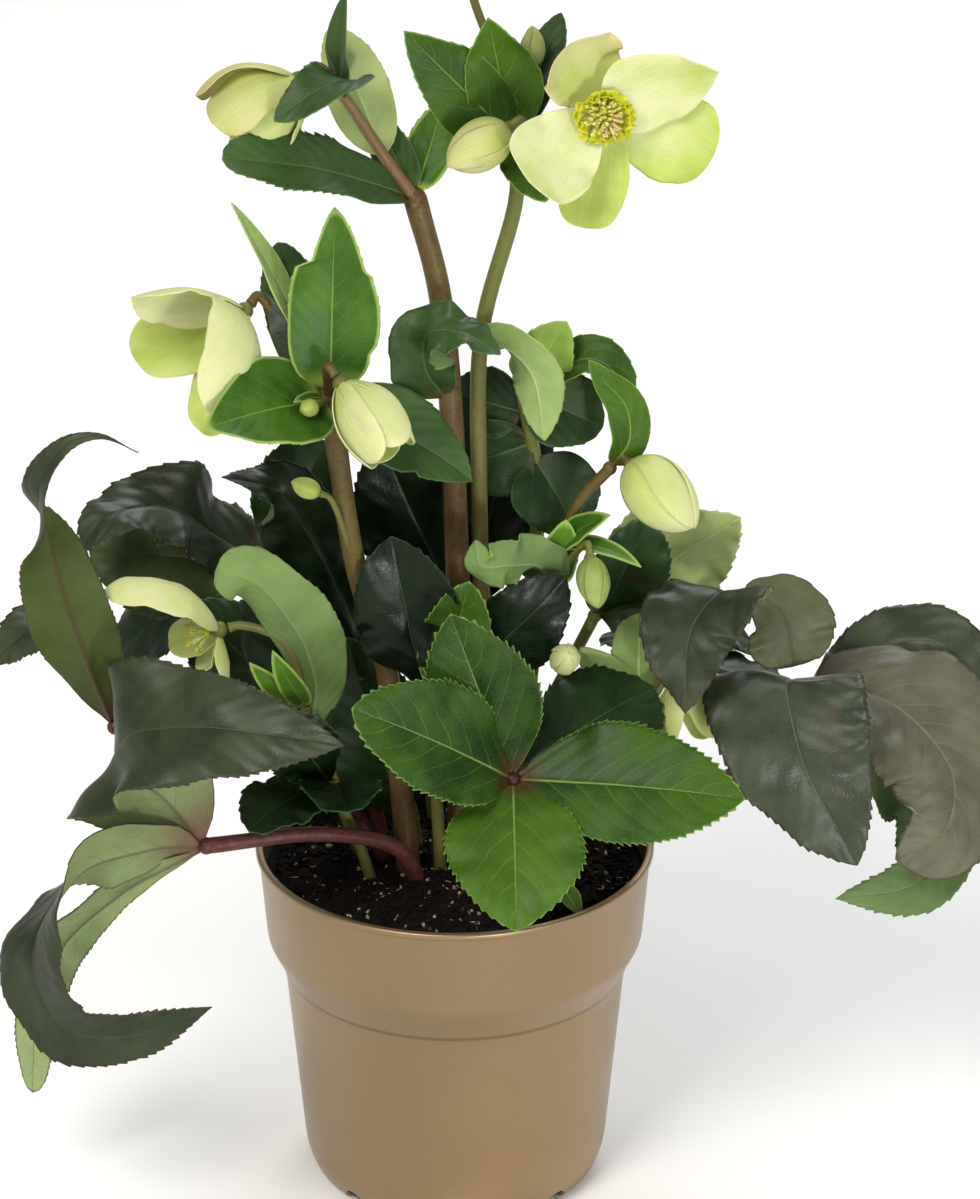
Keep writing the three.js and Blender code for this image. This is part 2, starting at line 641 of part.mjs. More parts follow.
// Blooms and buds: the middle of each receptacle, the way it opens, the sepals' length and width, how far
// they open in degrees, the turn of the first one, and how many stamens show. A list of sepals gives each
// one's own [turn, length, width, open] instead. A bud doesn't open.
const blooms = {
  bloom_open: {
    at: [46, -16, 380],
    face: [278, 4],
    width: 30,
    open: 80,
    stamens: 12,
    sepals: [[24, 38, 28, 76], [-24, 36, 31, 84], [-97, 36, 20, 88], [-158, 31, 28, 72], [108, 27, 29, 62]],
  },
  bloom_left: {
    at: [-66, -3, 308],
    face: [228, -28],
    width: 27,
    open: 44,
    stamens: 5,
    sepals: [[30, 36, 27, 34], [-35, 38, 25, 30], [255, 42, 26, 46], [195, 36, 27, 50], [130, 36, 25, 50]],
  },
  bloom_nodding: {
    at: [-48, 1, 384],
    face: [195, -34],
    length: 31,
    width: 19,
    open: 20,
    spin: 50,
    stamens: 4,
  },
  bloom_half_open: {
    at: [-35, -27, 293],
    face: [318, -40],
    width: 18,
    open: 14,
    sepals: [[20, 29, 16, 14], [92, 29, 16, 12], [164, 29, 16, 12], [236, 28, 16, 12], [308, 28, 17, 24]],
  },
  bloom_low_left: {
    at: [-76, -6, 198],
    face: [182, -12],
    width: 20,
    open: 50,
    stamens: 4,
    sepals: [[72, 40, 18, 38], [-70, 22, 13, 80], [205, 26, 15, 44], [-125, 24, 14, 60], [140, 28, 16, 40]],
  },
  bloom_low_right: {
    at: [75, -3, 184],
    face: [290, -62],
    length: 27,
    width: 13,
    open: 24,
    spin: 10,
    stamens: 3,
  },
  bud_egg: { at: [15, -13, 372], face: [203, -26], length: 23, width: 17 },
  bud_right: { at: [58, -2, 253], face: [320, -30], length: 31, width: 22 },
  bud_top: { at: [-2, 13, 421], face: [200, -10], length: 15, width: 11 },
  bud_brown: { at: [25, 10, 387], face: [90, 75], length: 13, width: 8 },
  bud_small: { at: [-44, -13, 250], face: [170, 20], length: 10, width: 7 },
  bud_tiny: { at: [-44, -26, 285], face: [240, 10], length: 8, width: 6 },
  bud_hanging: { at: [44, -12, 224], face: [290, -65], length: 17, width: 11 },
  bud_pale: { at: [35, -14, 190], face: [280, 40], length: 16, width: 10 },
};

// ---------- building them ----------
const receptacleOf = (bloom) => Math.min(RECEPTACLE, bloom.width * 0.24);

// A bloom's own directions: along its axis and two across it.
function axesOf(bloom) {
  const axis = direction(...bloom.face);
  const level = new THREE.Vector3(0, 0, 1).cross(axis).normalize();
  return { axis, level, rise: axis.clone().cross(level) };
}

function sepalList({ sepals, spin = 0, length, width, open }) {
  return sepals ?? [0, 72, 144, 216, 288].map((turn) => [spin + turn, length, width, open]);
}

// Five sepals round a small receptacle, each leaning over the next so that they overlap in turn.
function sepals(bloom) {
  const { axis, level, rise } = axesOf(bloom);
  const centre = vec(bloom.at);
  const size = receptacleOf(bloom);
  const pieces = [knob(size, centre, axis, level, rise)];
  for (const [turn, length, width, opening] of sepalList(bloom)) {
    const open = rad(opening);
    const radial = around(rad(turn), level, rise);
    const root = centre.clone().addScaledVector(radial, size * 0.6);
    const reach = axis.clone().multiplyScalar(Math.cos(open)).addScaledVector(radial, Math.sin(open));
    const inward = axis.clone().multiplyScalar(Math.sin(open)).addScaledVector(radial, -Math.cos(open));
    const lean = reach.clone().cross(inward).multiplyScalar(OVERLAP);
    pieces.push(blade({
      kind: "sepal",
      stem: 1,
      root: root.toArray(),
      tip: root.clone().addScaledVector(reach, length).toArray(),
      face: compassOf(inward.add(lean)),
      width,
      bend: -50,
    }));
  }
  return fuse(pieces);
}

// A shut bud: an egg whose surface steps out five times round, where each sepal's edge lies over the next.
function bud(bloom) {
  const { axis, level, rise } = axesOf(bloom);
  const rows = bloom.length > 12 ? [0.08, 0.26, 0.52, 0.78, 0.95] : [0.12, 0.5, 0.88];
  const round = bloom.length > 18 ? 15 : 10;
  const foot = vec(bloom.at).addScaledVector(axis, -receptacleOf(bloom));
  const points = [foot];
  for (const s of rows) {
    const radius = (bloom.width / 2) * halfWidth(s, egg.base, egg.tip);
    const middle = foot.clone().addScaledVector(axis, s * bloom.length);
    for (let k = 0; k < round; k++) {
      const step = 1 + egg.step * ((k % (round / 5)) - 1) * Math.sin(Math.PI * s);
      const out = around((2 * Math.PI * k) / round + egg.turn * s, level, rise);
      points.push(middle.clone().addScaledVector(out, radius * step));
    }
  }
  points.push(foot.clone().addScaledVector(axis, bloom.length));
  const faces = [];
  const last = points.length - 1;
  for (let k = 0; k < round; k++) {
    const next = (k + 1) % round;
    faces.push([0, 1 + next, 1 + k], [last, last - round + k, last - round + next]);
    for (let i = 0; i < rows.length - 1; i++) {
      const a = 1 + i * round + k;
      const b = 1 + i * round + next;
      faces.push([a, b, b + round], [a, b + round, a + round]);
    }
  }
  return body(points, faces);
}

function compassOf(way) {
  const unit = way.clone().normalize();
  return [Math.atan2(unit.y, unit.x), Math.asin(unit.z)].map(THREE.MathUtils.radToDeg);
}

// The heart of an open bloom: stamens spread evenly over a small dome, the outer ones lower.
function heart(bloom) {
  const { axis, level, rise } = axesOf(bloom);
  const foot = vec(bloom.at).addScaledVector(axis, receptacleOf(bloom) + GAP + stamen.dome);
  const pieces = [knob(stamen.dome, foot, axis, level, rise)];
  const spread = stamen.spread * Math.sin(rad(Math.min(bloom.open, FULLY_OPEN)));
  const goldenAngle = Math.PI * (3 - Math.sqrt(5));
  for (let k = 0; k < bloom.stamens; k++) {
    const share = Math.sqrt((k + 0.6) / bloom.stamens);
    const way = around(goldenAngle * k, level, rise).multiplyScalar(spread * share);
    pieces.push(club(foot, way.addScaledVector(axis, stamen.height - stamen.droop * share)));
  }
  return fuse(pieces);
}

// A stamen: a three-sided filament with a swollen end, from just inside the dome.
function club(foot, way) {
  const aside = new THREE.Vector3(0.3, 0.2, 1).cross(way).normalize();
  const up = way.clone().normalize().cross(aside);
  const points = [];
  for (const [share, radius] of stamenRings) {
    for (let k = 0; k < 3; k++) {
      const out = around((2 * Math.PI * k) / 3, aside, up);
      points.push(foot.clone().addScaledVector(way, share).addScaledVector(out, radius));
    }
  }
  const faces = [[0, 2, 1], [9, 10, 11]];
  for (let i = 0; i < 9; i += 3) {
    for (let k = 0; k < 3; k++) {
      const next = (k + 1) % 3;
      faces.push([i + k, i + next, i + 3 + next], [i + k, i + 3 + next, i + 3 + k]);
    }
  }
  return body(points, faces);
}

// A branch's route: to its bloom, it comes in along the bloom's axis and stops just short.
function route(branch, hub) {
  const bloom = blooms[branch.to];
  const axis = direction(...bloom.face);
  const end = vec(bloom.at).addScaledVector(axis, -receptacleOf(bloom) - GAP);
  const before = end.clone().addScaledVector(axis, -1 - receptacleOf(bloom));
  return [branch.from ?? hub, ...branch.via, before.toArray(), end.toArray()];
}

// A leaf or a flower stem. Leaflets part from a knob at the leaf stalk's end, and start just inside it.
function plantPart(part) {
  const hub = part.stalk[part.stalk.length - 1];
  const size = part.radius[1] + HUB_MARGIN;
  const pieces = [stalk(part.stalk, ...part.radius), knob(size, vec(hub))];
  for (const branch of part.branches ?? []) {
    pieces.push(stalk(route(branch, hub), ...branch.radius, 4, 1));
  }
  for (const one of part.blades) {
    const root = one.root ?? towards(hub, one.tip ?? one.path[0], size * 0.6);
    const path = one.path && [root, ...one.path];
    pieces.push(blade({ kind: part.kind ?? "bract", ...one, root, path }));
  }
  return fuse(pieces);
}

function towards(from, to, distance) {
  const way = vec(to).sub(vec(from)).setLength(distance);
  return vec(from).add(way).toArray();
}

// ---------- the pot and its soil ----------
// The outside of the pot's wall, from the lip down, as [radius, height].
const outside = [
  [pot.collarTop, pot.height - pot.lipHeight],
  [pot.collarFoot, pot.collarFootZ],
  [pot.waist, pot.waistZ],
  [pot.base, pot.baseZ],
  [pot.foot, 0],
];

// Turns a profile of [radius, height] about the upright axis.
function turned(profile, sides) {
  const points = profile.map(([r, z]) => new THREE.Vector2(r, z));
  return new THREE.LatheGeometry(points, sides).rotateX(Math.PI / 2);
}

// The inside of the wall at a height, for a wall that keeps its thickness.
function insideRadius(z) {
  const i = outside.findIndex(([, height]) => height <= z);
  if (i < 1) return pot.collarTop - pot.wall;
  const [[topR, topZ], [lowR, lowZ]] = [outside[i - 1], outside[i]];
  return lowR + ((topR - lowR) * (z - lowZ)) / (topZ - lowZ) - pot.wall;
}

function buildPot() {
  const inner = [pot.collarFootZ, pot.waistZ, pot.baseZ, pot.floor];
  const profile = [
    [0, 0],
    ...[...outside].reverse(),
    [pot.lip, pot.height - pot.lipHeight],
    [pot.lip, pot.height],
    [pot.collarTop - pot.wall, pot.height],
    ...inner.map((z) => [insideRadius(z), z]),
    [0, pot.floor],
  ];
  let shell = solidOf(turned(profile, pot.sides));
  for (let k = 0; k < pot.drains; k++) {
    const a = (2 * Math.PI * k) / pot.drains;
    const hole = new THREE.CylinderGeometry(pot.drainRadius, pot.drainRadius, 3 * pot.floor, 6);
    hole.rotateX(Math.PI / 2).translate(pot.drainRing * Math.cos(a), pot.drainRing * Math.sin(a), 0);
    const [depth, width, height] = pot.notch;
    const notch = new THREE.BoxGeometry(depth, width, 2 * height).translate(pot.foot, 0, 0);
    notch.rotateZ(a + Math.PI / pot.drains);
    shell = shell.subtract(solidOf(hole)).subtract(solidOf(notch));
  }
  return shell;
}

// A stalk's hole is straight: from just under its foot to where it has left the soil.
function holeEnds(points) {
  const curve = smooth(points);
  const foot = curve.getPointAt(0);
  let share = 0;
  while (curve.getPointAt(share).z < soil.top + soil.holeTop) share += 0.01;
  const above = curve.getPointAt(share);
  const under = foot.clone().addScaledVector(above.clone().sub(foot).normalize(), -GAP);
  return { under: under.toArray(), above: above.toArray() };
}

// The peat: it fills the pot, its top is uneven by a formula, and every stalk stands in a hole of its own.
function buildSoil(parts) {
  const bottom = pot.floor + GAP;
  const levels = [bottom, pot.waistZ, pot.collarFootZ, soil.top];
  const wall = levels.map((z) => [insideRadius(z) - GAP, z]);
  const edge = wall[wall.length - 1][0];
  const rings = [0.75, 0.5, 0.25, 0].map((share) => [edge * share, soil.top]);
  const geometry = turned([[0, bottom], ...wall, ...rings], soil.sides);
  const place = geometry.attributes.position;
  for (let i = 0; i < place.count; i++) {
    const [x, y, z] = [place.getX(i), place.getY(i), place.getZ(i)];
    const share = Math.hypot(x, y) / edge;
    if (z < soil.top - 0.01 || share > 0.95) continue;
    const bumps = Math.sin(x * 0.31 + 1) * Math.cos(y * 0.27) + 0.6 * Math.sin(x * 0.11 - y * 0.17);
    place.setZ(i, z + soil.ripple * (bumps + 1.4 * (1 - share)));
  }
  let peat = solidOf(geometry);
  for (const part of parts) {
    const { under, above } = holeEnds(part.stalk);
    const radius = part.radius[0] + HOLE_GAP;
    peat = peat.subtract(stalk([under, above], radius, radius, 5, 1));
  }
  return peat;
}

// ---------- the whole plant ----------
const group = new THREE.Group();

function addNode(name, solid, color, roughness, metalness = 0) {
  const material = new THREE.MeshStandardMaterial({ color, roughness, metalness });
  const mesh = new THREE.Mesh(geometryOf(solid), material);
  mesh.name = name;
  group.add(mesh);
}

addNode("pot", buildPot(), 0x9b805c, 0.4, 0.2);
addNode("soil", buildSoil([...Object.values(leaves), ...Object.values(stems)]), 0x241a15, 1);
for (const [name, leaf] of Object.entries(leaves)) addNode(name, plantPart(leaf), leaf.color, 0.45);
for (const [name, stem] of Object.entries(stems)) addNode(name, plantPart(stem), 0x4d7a2c, 0.55);
for (const [name, bloom] of Object.entries(blooms)) {
  addNode(name, bloom.open ? sepals(bloom) : bud(bloom), 0xe4e7b4, 0.6);
  if (bloom.stamens) addNode("heart_of_" + name, heart(bloom), 0xd6cf3a, 0.7);
}

export default group;
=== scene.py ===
import math
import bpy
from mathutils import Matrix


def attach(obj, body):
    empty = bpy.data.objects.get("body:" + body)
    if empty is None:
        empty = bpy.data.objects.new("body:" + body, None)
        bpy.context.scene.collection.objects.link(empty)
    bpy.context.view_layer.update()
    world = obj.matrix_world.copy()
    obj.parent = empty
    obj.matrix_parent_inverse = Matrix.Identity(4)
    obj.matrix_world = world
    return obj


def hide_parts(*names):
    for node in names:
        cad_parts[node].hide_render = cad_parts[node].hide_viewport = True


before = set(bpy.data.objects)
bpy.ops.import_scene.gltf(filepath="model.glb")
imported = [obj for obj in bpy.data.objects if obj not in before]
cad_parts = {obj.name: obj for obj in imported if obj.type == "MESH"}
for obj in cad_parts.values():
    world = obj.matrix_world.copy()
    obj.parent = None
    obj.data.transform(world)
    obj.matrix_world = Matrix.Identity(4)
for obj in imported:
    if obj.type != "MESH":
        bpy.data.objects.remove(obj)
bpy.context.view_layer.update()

import zlib

import bpy
import numpy as np
from mathutils import Matrix, Vector
from mathutils import noise as hills

print("frame loaded:", len(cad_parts), "nodes")

mm = 0.001  # the tables below are in millimetres


def linked(name, data):
    made = bpy.data.objects.new(name, data)
    bpy.context.collection.objects.link(made)
    return made


view = dict(target=(11.6, 0, 206), distance=2000, rise=25, lens=185.67, sensor=36)


def placeCamera(view):
    data = bpy.data.cameras.new("camera")
    data.sensor_fit = "VERTICAL"
    data.sensor_height = view["sensor"]
    data.lens = view["lens"]
    camera = linked("camera", data)
    rise = math.radians(view["rise"])
    away = Vector((0, -math.cos(rise), math.sin(rise)))
    camera.location = (Vector(view["target"]) + away * view["distance"]) * mm
    camera.rotation_euler = (-away).to_track_quat("-Z", "Y").to_euler()
    bpy.context.scene.camera = camera


placeCamera(view)


# A value at a node's output. Patterns are sums of such values, and each step of a sum becomes a node.
class Wire:
    def __init__(self, socket):
        self.socket = socket

    __add__ = lambda self, other: calc("ADD", self, other)
    __sub__ = lambda self, other: calc("SUBTRACT", self, other)
    __rsub__ = lambda self, other: calc("SUBTRACT", other, self)
    __mul__ = lambda self, other: calc("MULTIPLY", self, other)
    __truediv__ = lambda self, other: calc("DIVIDE", self, other)
    __rtruediv__ = lambda self, other: calc("DIVIDE", other, self)
    __abs__ = lambda self: calc("ABSOLUTE", self)

    def clamped(self):
        # keeps the last step of the sum between 0 and 1
        self.socket.node.use_clamp = True
        return self


def feed(socket, value):
    if isinstance(value, Wire):
        socket.id_data.links.new(value.socket, socket)
    else:
        socket.default_value = value


def node(tree, kind, inputs=None, **settings):
    made = tree.nodes.new(kind)
    for name, value in settings.items():
        setattr(made, name, value)
    for name, value in (inputs or {}).items():
        feed(made.inputs[name], value)
    return made


def wired(tree, kind, inputs=None, output=0, **settings):
    # a new node, given back as the value at one of its outputs
    return Wire(node(tree, kind, inputs, **settings).outputs[output])


def calc(operation, *values):
    tree = next(value.socket.id_data for value in values if isinstance(value, Wire))
    return wired(tree, "ShaderNodeMath", dict(enumerate(values)), operation=operation)


def newTree(name, kind, inputs, outputs, outputKind="Float"):
    # a node tree with named inputs, each a plain number or its (kind, usual value), and named outputs
    tree = bpy.data.node_groups.new(name, kind + "NodeTree")
    for label, value in inputs.items():
        inputKind, value = value if isinstance(value, tuple) else ("Float", value)
        made = tree.interface.new_socket(label, in_out="INPUT", socket_type="NodeSocket" + inputKind)
        if value is not None:
            made.default_value = value
    for label in outputs:
        tree.interface.new_socket(label, in_out="OUTPUT", socket_type="NodeSocket" + outputKind)
    given = node(tree, "NodeGroupInput").outputs
    return tree, {label: Wire(given[label]) for label in inputs}, node(tree, "NodeGroupOutput").inputs


def useGroup(tree, group, **values):
    made = node(tree, "ShaderNodeGroup", values, node_tree=group)
    return {socket.name: Wire(socket) for socket in made.outputs}


def shade(code):
    # a linear colour from its usual web code
    parts = [int(code[i:i + 2], 16) / 255 for i in (1, 3, 5)]
    return [p / 12.92 if p < 0.04045 else ((p + 0.055) / 1.055) ** 2.4 for p in parts] + [1]


def painted(colour, *layers):
    # lays one colour after another over the first, each by its amount
    for amount, tint in layers:
        tree = amount.socket.id_data
        colour = wired(tree, "ShaderNodeMix", {0: amount, 6: colour, 7: tint}, 2, data_type="RGBA")
    return colour


def spread(value, low, high, toLow=0.0, toHigh=1.0):
    # a smooth step of a value from one range to another
    steps = dict(enumerate((value, low, high, toLow, toHigh)))
    return wired(value.socket.id_data, "ShaderNodeMapRange", steps, interpolation_type="SMOOTHSTEP")


def noise(place, scale, detail=3.0, roughness=0.55):
    return wired(place.socket.id_data, "ShaderNodeTexNoise",
                 dict(Vector=place, Scale=scale, Detail=detail, Roughness=roughness))


def split(vector):
    return [Wire(part) for part in node(vector.socket.id_data, "ShaderNodeSeparateXYZ", {0: vector}).outputs]


def joined(tree, *parts):
    return wired(tree, "ShaderNodeCombineXYZ", dict(enumerate(parts)))


def attribute(tree, name):
    return wired(tree, "ShaderNodeAttribute", output="Vector", attribute_name=name)


def objectPlace(tree):
    return wired(tree, "ShaderNodeTexCoord", output="Object")


# Veins of a leaf: a rib, side veins that slant forward from it and the fine net between them.
# The attribute "blade" holds (across -1..1, along 0..1, tone), and "span" the same way in millimetres.
def veinGroup():
    tree, given, result = newTree(
        "leafVeins", "Shader", dict(pitch=9, slant=0.9, width=0.34, rib=0.62, cell=1.7, wander=3.4),
        ["midrib", "lateral", "network", "relief"])
    span = attribute(tree, "span")
    across, along = split(span)[:2]
    share, place = split(attribute(tree, "blade"))[:2]
    drift = (noise(objectPlace(tree), 55, 2) - 0.5) * (given["wander"] * 2)
    out, edge = abs(across), abs(share)
    lean = out * given["slant"] + edge * edge * given["pitch"]
    phase = (along - lean + drift) / given["pitch"] + calc("GREATER_THAN", share, 0) * 0.45
    offset = abs(calc("FRACT", phase) - 0.5)
    thin = given["width"] * (1.15 - edge)
    lateral = spread(offset * given["pitch"], thin, thin * 0.25) * spread(edge, 1, 0.7, 0.15, 1)
    ribWidth = given["rib"] * (1.1 - place)
    midrib = spread(out, ribWidth, ribWidth * 0.3)
    cells = wired(tree, "ShaderNodeTexVoronoi", dict(Vector=span, Scale=1 / given["cell"]), "Distance",
                  feature="DISTANCE_TO_EDGE", voronoi_dimensions="2D")
    network = spread(cells, 0.13, 0.02)
    relief = spread(offset, 0, 0.5) - network * 0.22 - midrib * 0.8
    for name, value in dict(midrib=midrib, lateral=lateral, network=network, relief=relief).items():
        feed(result[name], value)
    return tree


# Uneven growth: broad patches, fine specks and a grain for the bump.
def mottleGroup():
    tree, given, result = newTree("mottle", "Shader", dict(size=14, specks=900), ["patch", "speck", "grain"])
    at = objectPlace(tree)
    feed(result["patch"], spread(noise(at, 1000 / given["size"], 3), 0.32, 0.68))
    feed(result["speck"], spread(noise(at, given["specks"], 2), 0.56, 0.7))
    feed(result["grain"], noise(at, 2600, 2))
    return tree


veins = veinGroup()
mottle = mottleGroup()


def newFinish(name, roughness, specular, subsurface=0.0, coat=0.0, metallic=0.0):
    made = bpy.data.materials.new(name)
    made.use_nodes = True
    skin = made.node_tree.nodes["Principled BSDF"]
    looks = {"Roughness": roughness, "Specular IOR Level": specular, "Metallic": metallic,
             "Coat Weight": coat, "Coat Roughness": 0.3}
    if subsurface:
        looks |= {"Subsurface Weight": subsurface, "Subsurface Scale": 0.0015,
                  "Subsurface Radius": (1, 1, 0.4)}
    for label, value in looks.items():
        skin.inputs[label].default_value = value
    return made, made.node_tree, skin


def addBump(skin, height, strength, distance):
    bump = wired(skin.id_data, "ShaderNodeBump", dict(Strength=strength, Distance=distance, Height=height))
    feed(skin.inputs["Normal"], bump)


# A leaf's skin: two greens by tone and patch, paler veins, a coloured margin, a blush at the foot and the
# low quilting between veins.
def leafFinish(name, dark, light, vein, margin, roughness, lateral=0.13, network=0.05, marginWidth=0.6,
               blotch="#3b2a20", blotchShare=0.0, relief=1.0, specular=0.22, pitch=9.0, foot="#5a3a26",
               footShare=0.5):
    made, tree, skin = newFinish(name, roughness, specular)
    part = useGroup(tree, veins, pitch=pitch)
    uneven = useGroup(tree, mottle, size=16)
    place, tone = split(attribute(tree, "blade"))[1:]
    edge = split(attribute(tree, "span"))[2]
    mix = (tone * 0.6 + uneven["patch"] * 0.4 + (place - 0.4) * 0.35).clamped()
    stain = spread(noise(objectPlace(tree), 42, 4, 0.6), 0.66 - blotchShare * 0.3, 0.8 - blotchShare * 0.3)
    colour = painted(
        shade(dark),
        (mix, shade(light)),
        (stain * 0.6, shade(blotch)),
        (part["network"] * network, shade(vein)),
        (part["lateral"] * lateral, shade(vein)),
        (part["midrib"] * 0.6, shade(vein)),
        (spread(place, 0.14, 0) * footShare, shade(foot)),
        (spread(edge, marginWidth, marginWidth * 0.25) * 0.8, shade(margin)),
    )
    feed(skin.inputs["Base Color"], colour)
    feed(skin.inputs["Roughness"], uneven["patch"] * 0.14 + (roughness - 0.06) + part["lateral"] * 0.1)
    addBump(skin, part["relief"] + uneven["grain"] * 0.3, 0.22 * relief, 0.0004)
    return made


# A stalk's skin: green flushed with a second colour in streaks and specks, with fine ridges along it.
def stalkFinish(name, base, flush, streaks=0.5, speckled=0.3, roughness=0.42):
    made, tree, skin = newFinish(name, roughness, 0.25)
    uneven = useGroup(tree, mottle, size=9)
    across, along = split(attribute(tree, "span"))[:2]
    place, tone = split(attribute(tree, "blade"))[1:]
    lined = joined(tree, across, along * 0.22)
    ridges = noise(lined, 1.1, 3)
    amount = spread(ridges, 0.25, 0.75) * streaks + tone + spread(noise(lined, 3.4, 2), 0.52, 0.66) * 0.35
    amount = (amount + spread(place, 0.7, 0.1, 0, 0.35) + uneven["patch"] * 0.25).clamped()
    speckColour = [value * 0.45 for value in shade(flush)[:3]] + [1]
    colour = painted(shade(base), (amount, shade(flush)), (uneven["speck"] * speckled, speckColour))
    feed(skin.inputs["Base Color"], colour)
    addBump(skin, ridges + uneven["grain"] * 0.25, 0.3, 0.0005)
    return made


# A sepal's skin: cream to lime by the attribute "flush" (lime, blush), with faint veins along it.
def sepalFinish(name, cream, lime, olive, blush, roughness=0.45):
    made, tree, skin = newFinish(name, roughness, 0.2, subsurface=0.25)
    uneven = useGroup(tree, mottle, size=11, specks=1500)
    limeShare, blushShare = split(attribute(tree, "flush"))[:2]
    across, along = split(attribute(tree, "span"))[:2]
    lines = noise(joined(tree, across, along * 0.09), 1.1, 4, 0.6)
    amount = (limeShare + (uneven["patch"] - 0.5) * 0.22 + lines * 0.16 - 0.08).clamped()
    ramp = node(tree, "ShaderNodeValToRGB", {0: amount})
    ramp.color_ramp.elements[0].color = shade(cream)
    ramp.color_ramp.elements[1].color = shade(olive)
    ramp.color_ramp.elements.new(0.55).color = shade(lime)
    colour = painted(Wire(ramp.outputs[0]), ((blushShare * 0.8).clamped(), shade(blush)),
                     (spread(lines, 0.5, 0.75) * 0.12, shade(olive)))
    feed(skin.inputs["Base Color"], colour)
    addBump(skin, lines + uneven["grain"] * 0.2, 0.4, 0.0006)
    return made


def plainFinish(name, dark, light, roughness=0.6, size=3.0, bump=0.3, subsurface=0.0):
    made, tree, skin = newFinish(name, roughness, 0.2, subsurface)
    uneven = useGroup(tree, mottle, size=size)
    feed(skin.inputs["Base Color"], painted(shade(dark), (uneven["patch"], shade(light))))
    addBump(skin, uneven["grain"] + uneven["patch"] * 0.5, bump, 0.0005)
    return made


# Thin bronze-brown moulded plastic with a fine moulded grain, dust near the foot, rubbed spots and a painted
# shade line under the collar.
def potFinish(name, base, warm, dust, collarShade):
    made, tree, skin = newFinish(name, 0.34, 0.5, coat=0.15, metallic=0.72)
    at = objectPlace(tree)
    height = split(at)[2]
    uneven = useGroup(tree, mottle, size=30, specks=2200)
    worn = spread(height, 0.03, 0.0) * (uneven["patch"] * 0.35)
    colour = painted(
        shade(base),
        (spread(noise(at, 9, 2), 0.35, 0.65) * 0.5, shade(warm)),
        (uneven["speck"] * 0.25, shade(dust)),
        # painted shade: a thin dark line where the shaded taper under the collar meets the body
        (spread(abs(height - 0.0752), 0.0011, 0.0002, 0, 0.45), shade(collarShade)),  # under the collar
        (worn, shade(dust)),
    )
    feed(skin.inputs["Base Color"], colour)
    feed(skin.inputs["Roughness"], uneven["patch"] * 0.06 + 0.33 + worn * 0.3)
    addBump(skin, uneven["grain"], 0.08, 0.0003)
    return made


